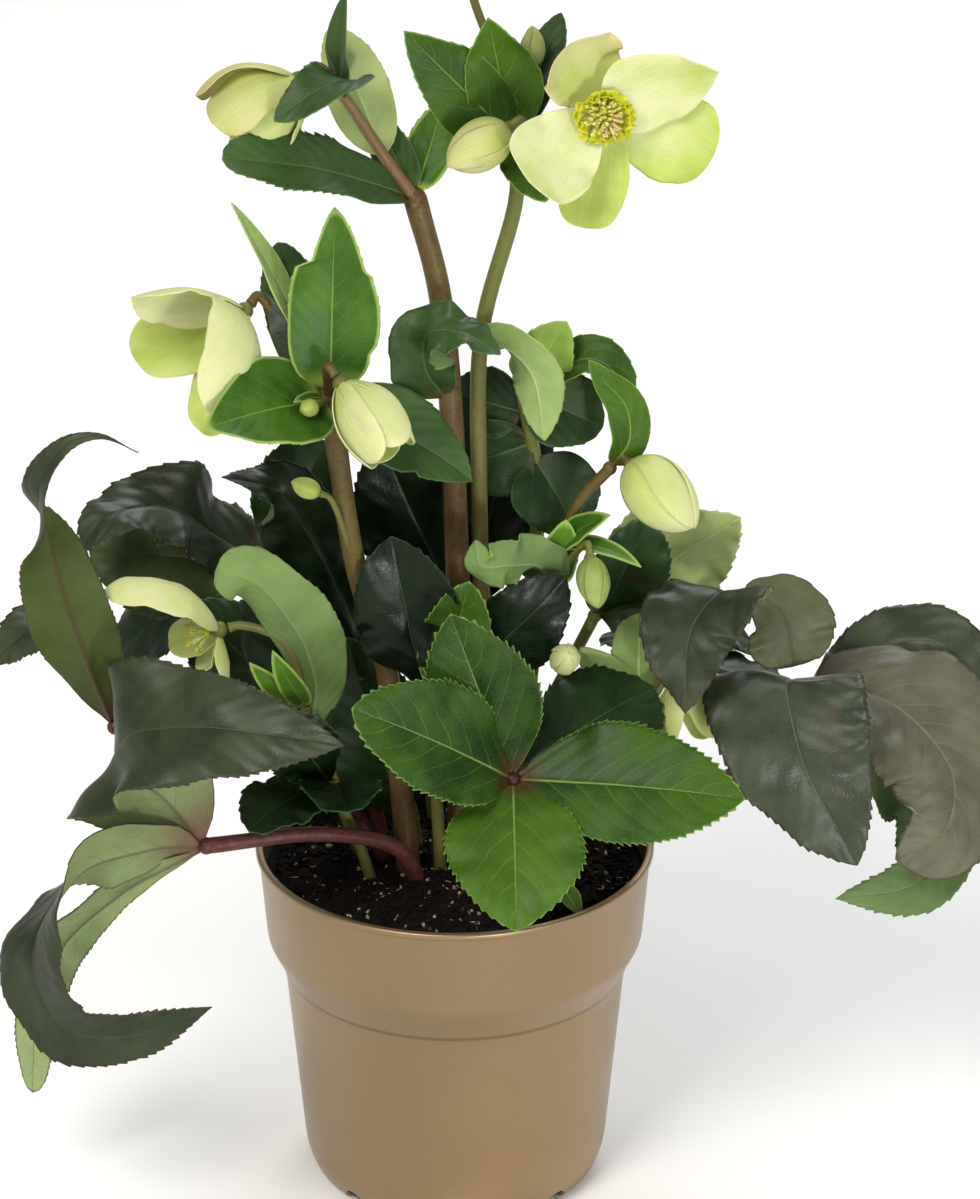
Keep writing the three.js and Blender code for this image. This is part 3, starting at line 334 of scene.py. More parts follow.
finishes = dict(
    fresh=leafFinish("freshLeafTop", "#142f08", "#406212", "#7f9a4c", "#6f8f40", 0.44, lateral=0.2,
                     marginWidth=0.35, foot="#4b2417", footShare=0.75, specular=0.18),
    freshUnder=leafFinish("freshLeafBack", "#4c6433", "#6b8446", "#8ca263", "#71893f", 0.6, marginWidth=0.35),
    deep=leafFinish("deepLeafTop", "#0d1f0b", "#233c16", "#42602c", "#35502a", 0.4, marginWidth=0.35),
    deepUnder=leafFinish("deepLeafBack", "#43572f", "#5f7643", "#7a8d58", "#566b3a", 0.58),
    old=leafFinish("oldLeafTop", "#161e10", "#39442a", "#4a5238", "#3a2c20", 0.4, blotch="#33291c",
                   blotchShare=0.12, relief=1.2, specular=0.24, lateral=0.1),
    oldUnder=leafFinish("oldLeafBack", "#6d7d4b", "#8fa06b", "#4a3a30", "#4c4630", 0.56, lateral=0.3,
                        network=0.14, foot="#6a3a34", footShare=0.8),
    slate=leafFinish("slateLeafTop", "#182014", "#3e4732", "#545b41", "#3a3026", 0.36, blotch="#4a4032",
                     blotchShare=0.15, relief=1.4, specular=0.28, marginWidth=0.8, lateral=0.1),
    slateUnder=leafFinish("slateLeafBack", "#5f6d44", "#81905f", "#4a3a30", "#4c4630", 0.56),
    shaded=leafFinish("shadedLeafTop", "#1f2a14", "#3e4f24", "#4e5e34", "#35291f", 0.42, specular=0.2),
    shadedUnder=leafFinish("shadedLeafBack", "#303d16", "#4b5a24", "#4a2a22", "#3d3a20", 0.56, lateral=0.3,
                           network=0.12, foot="#54302a", footShare=0.6),
    bronze=leafFinish("bronzeLeafTop", "#3b3b2c", "#62614b", "#7c7861", "#463a2c", 0.42, blotch="#48422f",
                      blotchShare=0.3, relief=1.6, marginWidth=0.9, lateral=0.3, specular=0.24),
    bronzeUnder=leafFinish("bronzeLeafBack", "#65704a", "#878f66", "#4a3a30", "#59503a", 0.58),
    olive=leafFinish("oliveLeafTop", "#383e26", "#5e6440", "#42412c", "#43402e", 0.46, lateral=0.4,
                     network=0.12, relief=1.2, specular=0.28),
    oliveUnder=leafFinish("oliveLeafBack", "#66744a", "#869464", "#4c462f", "#4d4630", 0.58),
    dark=leafFinish("darkLeafTop", "#071206", "#172710", "#33482a", "#22301a", 0.34, lateral=0.12, relief=1.2,
                    specular=0.2, marginWidth=0.35),
    darkUnder=leafFinish("darkLeafBack", "#3c4b2c", "#58683d", "#6b7a50", "#434028", 0.56),
    green=leafFinish("greenLeafTop", "#3c581e", "#7c9742", "#a0b466", "#88a04c", 0.46, lateral=0.24),
    greenUnder=leafFinish("greenLeafBack", "#6c844a", "#93a764", "#aab87c", "#7f9350", 0.58, lateral=0.25),
    bract=leafFinish("bractTop", "#284d0f", "#527a20", "#7d9b42", "#93ad58", 0.44, marginWidth=1.3,
                     pitch=6.5, foot="#a9c05e", footShare=0.65),
    bractUnder=leafFinish("bractBack", "#5f7639", "#87a05a", "#a6b67a", "#a5b576", 0.58, pitch=6.5,
                          foot="#a9c05e"),
    shade=leafFinish("shadeBractTop", "#16290f", "#3a5525", "#567042", "#4a653a", 0.42, pitch=6.5,
                     marginWidth=0.3),
    shadeUnder=leafFinish("shadeBractBack", "#4c6135", "#6c8549", "#849664", "#65764a", 0.58, pitch=6.5),
    sage=leafFinish("sageBractTop", "#6d8643", "#a0b56c", "#b7c588", "#a9b97c", 0.5, lateral=0.2, pitch=6.5),
    sageUnder=leafFinish("sageBractBack", "#7d9352", "#abb977", "#bcc68e", "#a9b97c", 0.56, lateral=0.2,
                         pitch=6.5),
    stem=stalkFinish("flowerStem", "#625b2c", "#50321f", 0.45, 0.45),
    greenStem=stalkFinish("greenStem", "#5f7030", "#6b5a34", 0.4, 0.3),
    redStem=stalkFinish("redStem", "#6a4238", "#4a1f22", 0.6, 0.35, 0.4),
    tanStem=stalkFinish("tanStem", "#7f6f48", "#76583a", 0.5, 0.4),
    hub=stalkFinish("redHub", "#4b2318", "#26100c", 0.5, 0.3),
    sepal=sepalFinish("sepalInside", "#cbcba2", "#acba60", "#8b9f38", "#c09680"),
    sepalOut=sepalFinish("sepalOutside", "#c6c795", "#adb964", "#8a9c3d", "#b98c74", 0.52),
    greenBud=sepalFinish("greenBud", "#a3b070", "#778a42", "#596b30", "#93795a", 0.5),
    nectary=plainFinish("nectary", "#a8ab16", "#cfcd3c", 0.45, 2, 0.3, 0.2),
    filament=plainFinish("filament", "#b9bf72", "#d0d490", 0.5, 2, 0.2, 0.2),
    anther=plainFinish("anther", "#b4b13e", "#d8d474", 0.75, 1.2, 0.8),
    style=plainFinish("style", "#b99a6b", "#d6bb92", 0.5, 2, 0.2),
    peat=plainFinish("peat", "#080605", "#150f0b", 0.95, 3.5, 1.0),
    crumb=plainFinish("peatCrumb", "#0a0706", "#211610", 0.95, 2.2, 1.0),
    paleCrumb=plainFinish("paleCrumb", "#8a7358", "#c9b497", 0.9, 1.5, 0.8),
    redCrumb=plainFinish("redCrumb", "#4f241a", "#7b4130", 0.9, 1.5, 0.8),
    pot=potFinish("bronzePlastic", "#8d7757", "#997c56", "#b39a76", "#4a3a28"),
)
finishNames = list(finishes)
print("finishes ready:", len(finishes))


# Shapes are worked out in millimetres.
def facing(compass, rise):
    # 0 right, 90 back, 180 left, 270 front, and the rise above level
    a, e = math.radians(compass), math.radians(rise)
    return np.array([math.cos(e) * math.cos(a), math.cos(e) * math.sin(a), math.sin(e)])


def unit(v):
    return v / np.maximum(np.linalg.norm(v, axis=-1, keepdims=True), 1e-9)


def curve(points, shares):
    # a centripetal Catmull-Rom curve through the points
    p = np.array(points, float)
    p = np.vstack([2 * p[0] - p[1], p, 2 * p[-1] - p[-2]])
    t = np.asarray(shares) * (len(points) - 1)
    i = np.clip(t.astype(int), 0, len(points) - 2)
    w = (t - i)[:, None]
    a, b, c, d = p[i], p[i + 1], p[i + 2], p[i + 3]
    spans = ((a, b), (b, c), (c, d))
    steps = [np.maximum(np.sum((v - u) ** 2, axis=1)[:, None] ** 0.25, 1e-6) for u, v in spans]
    start = ((b - a) / steps[0] - (c - a) / (steps[0] + steps[1]) + (c - b) / steps[1]) * steps[1]
    end = ((c - b) / steps[1] - (d - b) / (steps[1] + steps[2]) + (d - c) / steps[2]) * steps[1]
    return b + start * w + (3 * (c - b) - 2 * start - end) * w**2 + (2 * (b - c) + start + end) * w**3


def newMesh():
    return dict(places=[], faces=[], finish=[], smooth=[], blade=[], span=[], flush=[])


def gather(mesh, places, faces, finish, smooth=True, blade=None, span=None, flush=None):
    # adds a body's points and faces, with one finish or one for each face
    first = sum(len(p) for p in mesh["places"])
    count = len(places)
    mesh["places"].append(np.asarray(places, float))
    mesh["faces"] += [[first + v for v in face] for face in faces]
    mesh["finish"] += [finish] * len(faces) if isinstance(finish, str) else list(finish)
    mesh["smooth"] += [smooth] * len(faces) if isinstance(smooth, bool) else list(smooth)
    for name, values in (("blade", blade), ("span", span), ("flush", flush)):
        mesh[name].append(np.zeros((count, 3)) if values is None else np.asarray(values, float))


def turnedFaces(rings, sides):
    # closes a stack of rings of points between a first and a last point
    faces, last = [], rings * sides + 1
    for k in range(sides):
        n = (k + 1) % sides
        faces.append([0, 1 + n, 1 + k])
        faces.append([last, last - sides + k, last - sides + n])
        for i in range(rings - 1):
            a, b = 1 + i * sides + k, 1 + i * sides + n
            faces.append([a, b, b + sides, a + sides])
    return faces


def addSheet(mesh, upper, lower, finish, back, **layers):
    # a thin sheet from two grids of points, its upper side, its lower side and the rim between them
    rows, columns = upper.shape[:2]
    index = np.arange(rows * columns).reshape(rows, columns)
    low, high = index[:-1], index[1:]
    top = np.stack([low[:, :-1], low[:, 1:], high[:, 1:], high[:, :-1]], axis=-1).reshape(-1, 4)
    loop = np.concatenate([index[0, :-1], index[:-1, -1], index[-1, :0:-1], index[:0:-1, 0]])
    after, under = np.roll(loop, -1), rows * columns
    rim = np.stack([loop, loop + under, after + under, after], axis=-1)
    faces = np.concatenate([top, top[:, ::-1] + under, rim]).tolist()
    double = lambda first, second: np.concatenate([first.reshape(-1, 3), second.reshape(-1, 3)])
    finishOf = [finish] * len(top) + [back] * len(top) + [finish] * len(rim)
    smooth = [True] * (2 * len(top)) + [False] * len(rim)
    doubled = {name: double(values, values) for name, values in layers.items()}
    gather(mesh, double(upper, lower), faces, finishOf, smooth, **doubled)


def makePiece(name, mesh, nodeName):
    places = np.vstack(mesh["places"]) * mm
    data = bpy.data.meshes.new(name)
    data.from_pydata(places.tolist(), [], mesh["faces"])
    used = [one for one in finishNames if one in set(mesh["finish"])]
    for one in used:
        data.materials.append(finishes[one])
    data.polygons.foreach_set("material_index", [used.index(one) for one in mesh["finish"]])
    data.polygons.foreach_set("use_smooth", mesh["smooth"])
    for layer in ("blade", "span", "flush"):
        values = np.vstack(mesh[layer])
        data.attributes.new(layer, "FLOAT_VECTOR", "POINT").data.foreach_set("vector", values.ravel())
    data.update()
    claim(linked(name, data), nodeName)


def claim(piece, nodeName):
    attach(piece, "root")
    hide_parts(nodeName)


# A round tapered stalk through the points, with a small swelling where it starts and ends.
def addTube(mesh, points, startRadius, endRadius, finish, sides=14, steps=9, tone=0.0, flare=0.0):
    shares = np.linspace(0, 1, steps * (len(points) - 1) + 1)
    centres = curve(points, shares)
    along = unit(np.gradient(centres, axis=0))
    aside = np.array([0.8, 0.6, 0.0])
    length = np.concatenate([[0], np.cumsum(np.linalg.norm(np.diff(centres, axis=0), axis=1))])
    angles = np.arange(sides) * 2 * np.pi / sides
    places, blade, span = [], [], []
    for i, t in enumerate(shares):
        aside = unit(aside - along[i] * aside.dot(along[i]))
        other = np.cross(along[i], aside)
        swell = 1 + flare * math.exp(-((1 - t) * 9) ** 2) + 0.5 * flare * math.exp(-(t * 9) ** 2)
        radius = (startRadius + (endRadius - startRadius) * t) * swell
        for a in angles:
            out = math.cos(a) * aside + math.sin(a) * other
            places.append(centres[i] + out * radius)
            blade.append((0, t, tone))
            span.append((math.sin(a) * radius * 2, length[i] + math.cos(a) * 0.5, 5))
    last = len(shares) - 1
    faces = []
    for i in range(last):
        for k in range(sides):
            a, b = i * sides + k, i * sides + (k + 1) % sides
            faces.append([a, b, b + sides, a + sides])
    faces.append(list(range(sides))[::-1])
    faces.append([last * sides + k for k in range(sides)])
    gather(mesh, places, faces, finish, True, blade, span)


# A smooth ball, stretched along one way.
def addBall(mesh, centre, radius, finish, axis=(0, 0, 1), stretch=1.0, sides=14, rings=9, tone=0.0):
    axis = unit(np.array(axis, float))
    level = unit(np.cross([0.3, 0.2, 1.0], axis))
    rise = np.cross(axis, level)
    places = [centre - axis * radius * stretch]
    for i in range(1, rings):
        polar = math.pi * i / rings
        for k in range(sides):
            a = 2 * math.pi * k / sides
            out = (math.cos(a) * level + math.sin(a) * rise) * math.sin(polar) * radius
            places.append(centre + out - axis * math.cos(polar) * radius * stretch)
    places.append(centre + axis * radius * stretch)
    count = len(places)
    gather(mesh, places, turnedFaces(rings - 1, sides), finish, True, [(0, 0.5, tone)] * count,
           [(3, 3, 5)] * count)


# The kinds of blade: the outline's powers at base and tip, the fold at the rib and the cupping of each half
# in degrees, where the teeth start, their pitch and height, the waves of the margin (how many, how high), the
# rib's thickness, the spacing of side veins, the quilting between them and the buckles of the whole skin.
leafForm = dict(fold=12, cup=-8, teeth=0.2, pitch=2.8, tooth=0.7, wave=(3, 1.2), rib=0.9, quilt=0.05,
                columns=10, veins=9, buckle=1.1)
bractForm = dict(leafForm, fold=10, cup=6, teeth=0.42, pitch=3.2, tooth=0.35, wave=(2, 0.8), rib=0.7,
                 quilt=0.03, columns=9, veins=6.5, buckle=0.6)
kinds = dict(
    leaflet=dict(leafForm, outline=(1.05, 0.8)),
    rear=dict(leafForm, outline=(1.05, 0.8)),
    fresh=dict(leafForm, outline=(0.8, 0.9), fold=10, cup=-6, teeth=0.14, pitch=2.4, tooth=1.15,
               wave=(3, 0.8), rib=0.8, quilt=0.07, buckle=0.8),
    curled=dict(leafForm, outline=(0.8, 1), wave=(4, 1.5), rib=1.1, quilt=0.07, buckle=1.5),
    broad=dict(leafForm, outline=(0.62, 0.95), fold=10, wave=(4, 1.4), rib=1.1, quilt=0.07, buckle=1.7),
    long=dict(leafForm, outline=(0.5, 1.6), cup=-6, wave=(4, 1.2), rib=1.0, tooth=0.4),
    bract=dict(bractForm, outline=(0.56, 0.72)),
    ovate=dict(bractForm, outline=(0.6, 0.95)),
    blunt=dict(leafForm, outline=(0.7, 0.42), fold=10, cup=-6, teeth=0.25, tooth=0.5),
    small=dict(bractForm, outline=(0.5, 0.8), fold=14, cup=0, teeth=1, wave=(1.5, 0.4), columns=6,
               buckle=0.2),
    sepal=dict(bractForm, outline=(0.6, 0.4), fold=4, cup=30, teeth=1, wave=(2, 0.6), rib=0, quilt=0,
               buckle=0.35),
)
toothShape = ((0, 0.0), (0.3, 0.25), (0.62, 0.7), (0.88, 1.0))  # place in the pitch, and height


def halfWidth(s, base, tip):
    peak = base / (base + tip)
    return np.clip(s, 0, 1) ** base * np.clip(1 - s, 0, 1) ** tip / (peak**base * (1 - peak) ** tip)


# The attribute "flush": lime along the middle and the edges, and a blush towards the margin and the tip.
def flushOf(s, a, lime, blush, fade=1.5, edgeShare=0.25, footShare=0.3):
    middle, edge = [np.interp(s, np.linspace(0, 1, len(line)), line)[:, None] for line in lime]
    limeHere = middle * (1 - a**fade) + edge * a**fade
    blushHere = blush * (edgeShare + (1 - edgeShare) * a**3) * (footShare + (1 - footShare) * s[:, None])
    return np.stack([limeHere, blushHere, 0 * limeHere], -1)


# Rows along a blade, each with its share of the length and of a tooth.
def rowsOf(form, length):
    if form["teeth"] >= 1:
        s = (1 - np.cos(np.linspace(0, np.pi, 30))) / 2
        return s, np.zeros_like(s)
    end = 0.965
    count = max(3, round((end - form["teeth"]) * length / form["pitch"]))
    step = (end - form["teeth"]) / count
    rows = [(s, 0) for s in np.linspace(0, form["teeth"], 9)[:-1]]
    for k in range(count):
        rows += [(form["teeth"] + (k + at) * step, height) for at, height in toothShape]
    rows += [(end, 0), (0.98, 0), (0.992, 0), (1, 0)]
    return np.array(rows).T


# The middle line of a blade: places, upper-side normals and the way to its right, one for each row.
def pathSpine(s, path, faces):
    fine = np.linspace(0, 1, 601)
    points = curve(path, fine)
    run = np.concatenate([[0], np.cumsum(np.linalg.norm(np.diff(points, axis=0), axis=1))])
    even = np.linspace(0, run[-1], 401)
    points = np.stack([np.interp(even, run, points[:, i]) for i in range(3)], axis=1)
    along = unit(np.gradient(points, axis=0))
    ways = np.array([facing(*face) for face in faces])
    knots = np.linspace(0, 1, len(ways))
    share = np.linspace(0, 1, 401)
    normal = np.stack([np.interp(share, knots, ways[:, i]) for i in range(3)], axis=1)
    soft = np.hanning(61) / np.hanning(61).sum()
    padded = np.pad(normal, ((30, 30), (0, 0)), mode="edge")
    normal = np.stack([np.convolve(padded[:, i], soft, "valid") for i in range(3)], axis=1)
    pick = lambda values: np.stack([np.interp(s, share, values[:, i]) for i in range(3)], axis=1)
    at, along, normal = pick(points), unit(pick(along)), pick(normal)
    normal = unit(normal - along * np.sum(normal * along, axis=1)[:, None])
    return at, normal, np.cross(along, normal), run[-1]


def turned(first, up):
    x = unit(first)
    z = unit(up - x * up.dot(x))
    return np.stack([x, np.cross(z, x), z], axis=1)


def chordSpine(s, root, tip, face, bend):
    b = math.radians(bend)
    arc = lambda t: np.stack([np.sin(b * t), 0 * t, np.cos(b * t) - 1], axis=-1) / b
    chord = np.array(tip, float) - root
    span = arc(np.float64(1))
    way = turned(chord, facing(*face) if len(face) == 2 else np.array(face)) @ turned(span, facing(0, 90)).T
    scale = np.linalg.norm(chord) / np.linalg.norm(span)
    normal = np.stack([np.sin(b * s), 0 * s, np.cos(b * s)], axis=1)
    side = np.tile(way @ np.array([0, -1.0, 0]), (len(s), 1))
    return arc(s) * scale @ way.T + root, normal @ way.T, side, scale


def columnsOf(count):
    # shares of the half-width, closer together beside the rib and at the margin
    inner = np.linspace(0, 1, count) ** 0.9 * 0.93
    half = np.concatenate([[0.025, 0.06], inner[1:], [1.0]])
    return np.concatenate([-half[::-1], [0], half])


# A thin blade with a ribbed back, a toothed and wavy margin and its skin quilted between the veins.
def addBlade(mesh, kind, width, finish, foot=1.3, root=None, tip=None, face=None, bend=40, path=None,
             faces=None, tone=0.0, seed=0, lime=None, blush=0.0, thick=0.62, back=None, **changes):
    form = dict(kinds[kind], **changes)
    chance = np.random.default_rng(seed)
    corners = np.array(path or [root, tip], float)
    length = np.linalg.norm(np.diff(corners, axis=0), axis=1).sum()
    s, tooth = rowsOf(form, length)
    if path:
        at, normal, side, length = pathSpine(s, path, faces)
    else:
        at, normal, side, length = chordSpine(s, root, tip, face, bend)
    half = halfWidth(s, *form["outline"]) * width / 2
    half = np.maximum(half, np.where(s < 0.5, foot, 0.12))
    c = columnsOf(form["columns"])
    a = np.abs(c)
    fold, cup = math.radians(form["fold"]), math.radians(form["cup"]) or 1e-3
    out = np.sign(c) * (np.sin(fold + cup * a) - math.sin(fold)) / cup
    up = (math.cos(fold) - np.cos(fold + cup * a)) / cup
    ends = np.sin(np.pi * np.clip(s, 0, 1)) ** 0.5
    # the two halves grow a little unlike each other
    sway = 0.05 * np.sin(2 * np.pi * s * chance.uniform(0.7, 1.3) + chance.uniform(0, 6.3)) * ends
    uneven = 1 + sway[:, None] * np.where(c > 0, 1, -1)[None, :]
    # notches (or humps) of one side's margin, and steps where a side lobe ends: place, depth, side
    for place, depth, hand in form.get("notches", ()):
        uneven *= 1 - depth * np.exp(-(((s - place) / 0.035) ** 2))[:, None] * (c * hand > 0)[None, :]
    for place, depth, hand in form.get("steps", ()):
        uneven *= 1 - depth * np.clip((s - place) / 0.02, 0, 1)[:, None] * (c * hand > 0)[None, :]
    out, up = half[:, None] * out * uneven, half[:, None] * up
    # margin waves differ from side to side and die out at both ends
    count, height = form["wave"]
    for sign in (-1, 1):
        on = (c * sign > 0)[None, :]
        phase, pace = chance.uniform(0, 2 * np.pi), count * chance.uniform(0.85, 1.2)
        ripple = np.sin(2 * np.pi * pace * s + phase) + 0.4 * np.sin(4.3 * np.pi * pace * s + 2 * phase)
        up += on * (height * ends * ripple)[:, None] * (a**2.2)[None, :] * np.minimum(1, half / 6)[:, None]
    # the skin rises between the side veins, as the vein pattern of its finish has them
    across, along = out, s[:, None] * length
    lean = np.abs(across) * 0.9 + (a**2)[None, :] * form["veins"]
    turn = (along - lean) / form["veins"] + 0.45 * (c > 0)[None, :]
    hill = (0.5 + 0.5 * np.cos(2 * np.pi * turn)) * (np.sin(np.pi * np.clip(a, 0, 0.97)) ** 0.7)[None, :]
    up += form["quilt"] * hill * np.minimum(1, half / 7)[:, None]
    # slow buckles of the whole skin, smaller at the rib
    bulge = np.zeros_like(up)
    for wavelength in (44, 31, 21, 13):
        way, phase = chance.uniform(0, np.pi), chance.uniform(0, 2 * np.pi)
        wave = np.sin(2 * np.pi * (across * math.cos(way) + along * math.sin(way)) / wavelength + phase)
        bulge += wave * (wavelength / 34) ** 1.7
    up += form["buckle"] * bulge * ((0.3 + 0.7 * a)[None, :] * (ends * np.minimum(1, half / 8))[:, None])
    grid = at[:, None] + side[:, None] * out[..., None] + normal[:, None] * up[..., None]
    # thickness, from the smooth grid's own normals
    rowWay = np.gradient(grid, axis=0)
    columnWay = np.gradient(grid, axis=1)
    lift = unit(np.cross(columnWay, rowWay))
    forward = unit(np.gradient(at, axis=0))
    reach = form["tooth"] * tooth * np.minimum(1, half / 5)
    # no two teeth are alike
    reach = reach * chance.uniform(0.4, 1.2, len(s))[np.arange(len(s)) // len(toothShape)]
    outward = unit(columnWay[:, -1])
    grid[:, -1] += outward * reach[:, None] + forward * (0.55 * reach)[:, None]
    grid[:, 0] += -unit(columnWay[:, 0]) * reach[:, None] + forward * (0.55 * reach)[:, None]
    body = thick / 2 * (1 - 0.45 * a**4)[None, :, None]
    ribHalf = 0.25 + 0.65 * (1 - s)
    ridge = form["rib"] * (1 - 0.75 * s)[:, None] * np.exp(-(out / ribHalf[:, None]) ** 2)
    ridge = ridge * np.minimum(1, half / 2.5)[:, None]
    top = grid + lift * (body - 0.35 * ridge[..., None] * (s > 0.03)[:, None, None])
    under = grid - lift * (body + 0.75 * ridge[..., None])
    shape = out.shape
    fill = lambda values: np.broadcast_to(values, shape)
    blade = np.stack([fill(c), fill(s[:, None]), fill(tone)], -1)
    margin = np.minimum((1 - a)[None, :] * half[:, None], (1 - s)[:, None] * length * 0.35)
    span = np.stack([across, fill(along), margin], -1)
    flush = flushOf(s, a, lime, blush) if lime else np.zeros_like(blade)
    addSheet(mesh, top, under, finish, back or finish + "Under", blade=blade, span=span, flush=flush)


def seedOf(name, index):
    return zlib.crc32(name.encode()) % 10000 + index


def towards(start, end, distance):
    return np.array(start, float) + unit(np.array(end, float) - np.array(start, float)) * distance


receptacle = dict(largest=2.9, share=0.24, gap=0.35)  # the green ball in a bloom, by the bloom's width


def receptacleOf(bloom):
    return min(receptacle["largest"], bloom["width"] * receptacle["share"])


def axesOf(bloom):
    axis = facing(*bloom["face"])
    level = unit(np.cross([0, 0, 1.0], axis))
    return axis, level, np.cross(axis, level)


sepalForm = dict(foot=1.2, bend=-50, lift=0, thick=0.5)  # millimetres, and degrees for the bend


def growBloom(name, bloom):
    axis, level, rise = axesOf(bloom)
    centre = np.array(bloom["at"], float)
    size = receptacleOf(bloom)
    mesh = newMesh()
    addBall(mesh, centre, size, "greenStem", axis)
    for index, sepal in enumerate(bloom["sepals"]):
        looks = {**sepalForm, **bloom.get("looks", {}), **sepal}
        turn, opening = math.radians(looks.pop("turn")), math.radians(looks.pop("open"))
        radial = math.cos(turn) * level + math.sin(turn) * rise
        reach = axis * math.cos(opening) + radial * math.sin(opening)
        inward = axis * math.sin(opening) - radial * math.cos(opening)
        inward = unit(inward + np.cross(reach, inward) * 0.2)
        root = centre + radial * size * 0.6 + axis * looks.pop("lift")
        tip = root + reach * looks.pop("length")
        addBlade(mesh, "sepal", finish="sepal", back="sepalOut", root=root, tip=tip, face=inward,
                 seed=seedOf(name, index), **looks)
    makePiece(name + "_sepals", mesh, name)


# A shut bud: five sepals wrapped round an egg, each with one edge over the next. They turn round the axis as
# they rise (twist), reach to both sides in degrees, and their thickness is in millimetres.
budForm = dict(outline=(0.5, 0.62), twist=0.7, reach=52, lap=0.075, keel=0.02, thick=0.5,
               lime=([0.8, 0.35, 0.2], [0.6, 0.4, 0.35]))


def growBud(name, bud):
    bud = {**budForm, **bud}
    axis, level, rise = axesOf(bud)
    width, length, finish = bud["width"], bud["length"], bud.get("finish", "sepalOut")
    foot = np.array(bud["at"], float) - axis * receptacleOf(bud)
    mesh = newMesh()
    s = (1 - np.cos(np.linspace(0, np.pi, 22))) / 2
    c = np.linspace(-1, 1, 15)
    a, along = np.abs(c), s[:, None]
    radius = width / 2 * np.maximum(halfWidth(along, *bud["outline"]), 0.01)
    lap = 0.94 + bud["lap"] * (c + 0.3 * a**3) * np.sin(np.pi * along) ** 0.6
    r = (radius * lap * (1 + bud["keel"] * np.exp(-(c * 5) ** 2)))[..., None]
    flat = np.zeros_like(lap)
    blade = np.stack([flat + c, flat + along, flat], -1)
    span = np.stack([c * radius, flat + along * length, flat + 5], -1)
    layers = dict(blade=blade, span=span, flush=flushOf(s, a, bud["lime"], bud.get("blush", 0), 2, 0.3, 0.4))
    for k in range(5):
        angle = 2 * np.pi * k / 5 + bud["twist"] * along + c * math.radians(bud["reach"])
        out = np.cos(angle)[..., None] * level + np.sin(angle)[..., None] * rise
        skin = foot + axis * (along * length * (1 - 0.012 * k))[..., None] + out * r
        addSheet(mesh, skin, skin - out * np.minimum(bud["thick"], r * 0.4), finish, finish, **layers)
    addBall(mesh, foot + axis * length * 0.48, width * 0.36, finish, axis, length * 0.42 / (width * 0.36))
    addBall(mesh, foot + axis * 0.4, receptacleOf(bud) * 0.8, "greenStem", axis, 0.7)
    makePiece(name + "_sepals", mesh, name)


# Each bloom: its place, where it faces, and its sepals with their turn round the axis and their opening in
# degrees. Lime runs from foot to tip, along the middle and along the edges.
blooms = {}
blooms["bloom_open"] = dict(
    at=[46, -16, 380], face=[278, 4], width=30,
    sepals=[
        dict(turn=24, length=38, width=28, open=69, lift=1.4, outline=(0.4, 0.85), foot=3, cup=4, fold=5,
             lime=([0.1, 0.3, 0.6], [0.1, 0.15, 0.3])),
        dict(turn=-24, length=36, width=31, open=83, outline=(0.8, 0.42), foot=2.5, cup=2, fold=2,
             wave=(3, 0.7), lime=([0.0, 0.3, 0.6], [0.1, 0.55, 0.75])),
        dict(turn=-97, length=36, width=22, open=88, lift=-0.9, outline=(0.34, 0.26), foot=4, cup=16,
             lime=([0.2, 0.5, 0.8], [0.3, 0.6, 0.7])),
        dict(turn=-145, length=31, width=29.4, open=66, lift=0.8, outline=(0.6, 0.26), foot=3.5, cup=10,
             wave=(2, 1.0), lime=([0.05, 0.2, 0.35], [0.05, 0.2, 0.1])),
        dict(turn=113, length=25.65, width=29, open=71, lift=-2.4, outline=(0.55, 0.3), foot=2.5, fold=2,
             blush=0.7, wave=(2.5, 1.6), lime=([0.4, 0.5, 0.3], [0.4, 0.4, 0.2])),
    ],
)
blooms["bloom_left"] = dict(
    at=[-66, -3, 308], face=[228, -28], width=27,
    sepals=[
        dict(turn=-3, length=39.6, width=37.8, open=20, lift=1.2, bend=-95, outline=(0.2, 0.42), foot=8.5,
             lime=([0.2, 0.1, 0.05], [0.1, 0.05, 0.1])),
        dict(turn=-65, length=38, width=25, open=30, outline=(0.4, 0.35),
             lime=([0.25, 0.1, 0.05], [0.1, 0.05, 0.15])),
        dict(turn=255, length=42, width=26, open=46, outline=(0.4, 0.35),
             lime=([0.4, 0.6, 0.7], [0.4, 0.5, 0.4])),
        dict(turn=195, length=39.6, width=27, open=50, outline=(0.35, 0.32), foot=4,
             lime=([0.55, 0.75, 0.65], [0.5, 0.65, 0.35])),
        dict(turn=130, length=36, width=27.5, open=50, outline=(0.35, 0.4), foot=5, fold=16,
             lime=([0.4, 0.25, 0.1], [0.15, 0.1, 0.1])),
    ],
)
blooms["bloom_nodding"] = dict(
    at=[-48, 1, 384], face=[195, -34], width=19,
    looks=dict(length=31, width=22.8, open=20, outline=(0.42, 0.24), foot=3, bend=-80, fold=2,
               lime=([0.6, 0.4, 0.4], [0.3, 0.3, 0.4])),
    sepals=[
        dict(turn=50, blush=0.4),
        dict(turn=112, width=24.7, open=26, lift=0.5, blush=0.8, bend=-95, wave=(1, 0)),
        dict(turn=194, width=24.7, open=26),
        dict(turn=266, width=25.65, open=36, bend=-60),
        dict(turn=338),
    ],
)
blooms["bloom_half_open"] = dict(
    at=[-35, -27, 293], face=[318, -40], width=18,
    looks=dict(length=29, width=17.92, open=12, outline=(0.42, 0.34), foot=2.4, bend=-70, fold=0, cup=34,
               buckle=0.15, wave=(1, 0), lime=([0.55, 0.25, 0.15], [0.25, 0.1, 0.1])),
    sepals=[
        dict(turn=20, open=14),
        dict(turn=92),
        dict(turn=164),
        dict(turn=236, length=28),
        dict(turn=308, length=28, width=19.04, open=24, lime=([0.7, 0.8, 0.7], [0.5, 0.4, 0.15])),
    ],
)
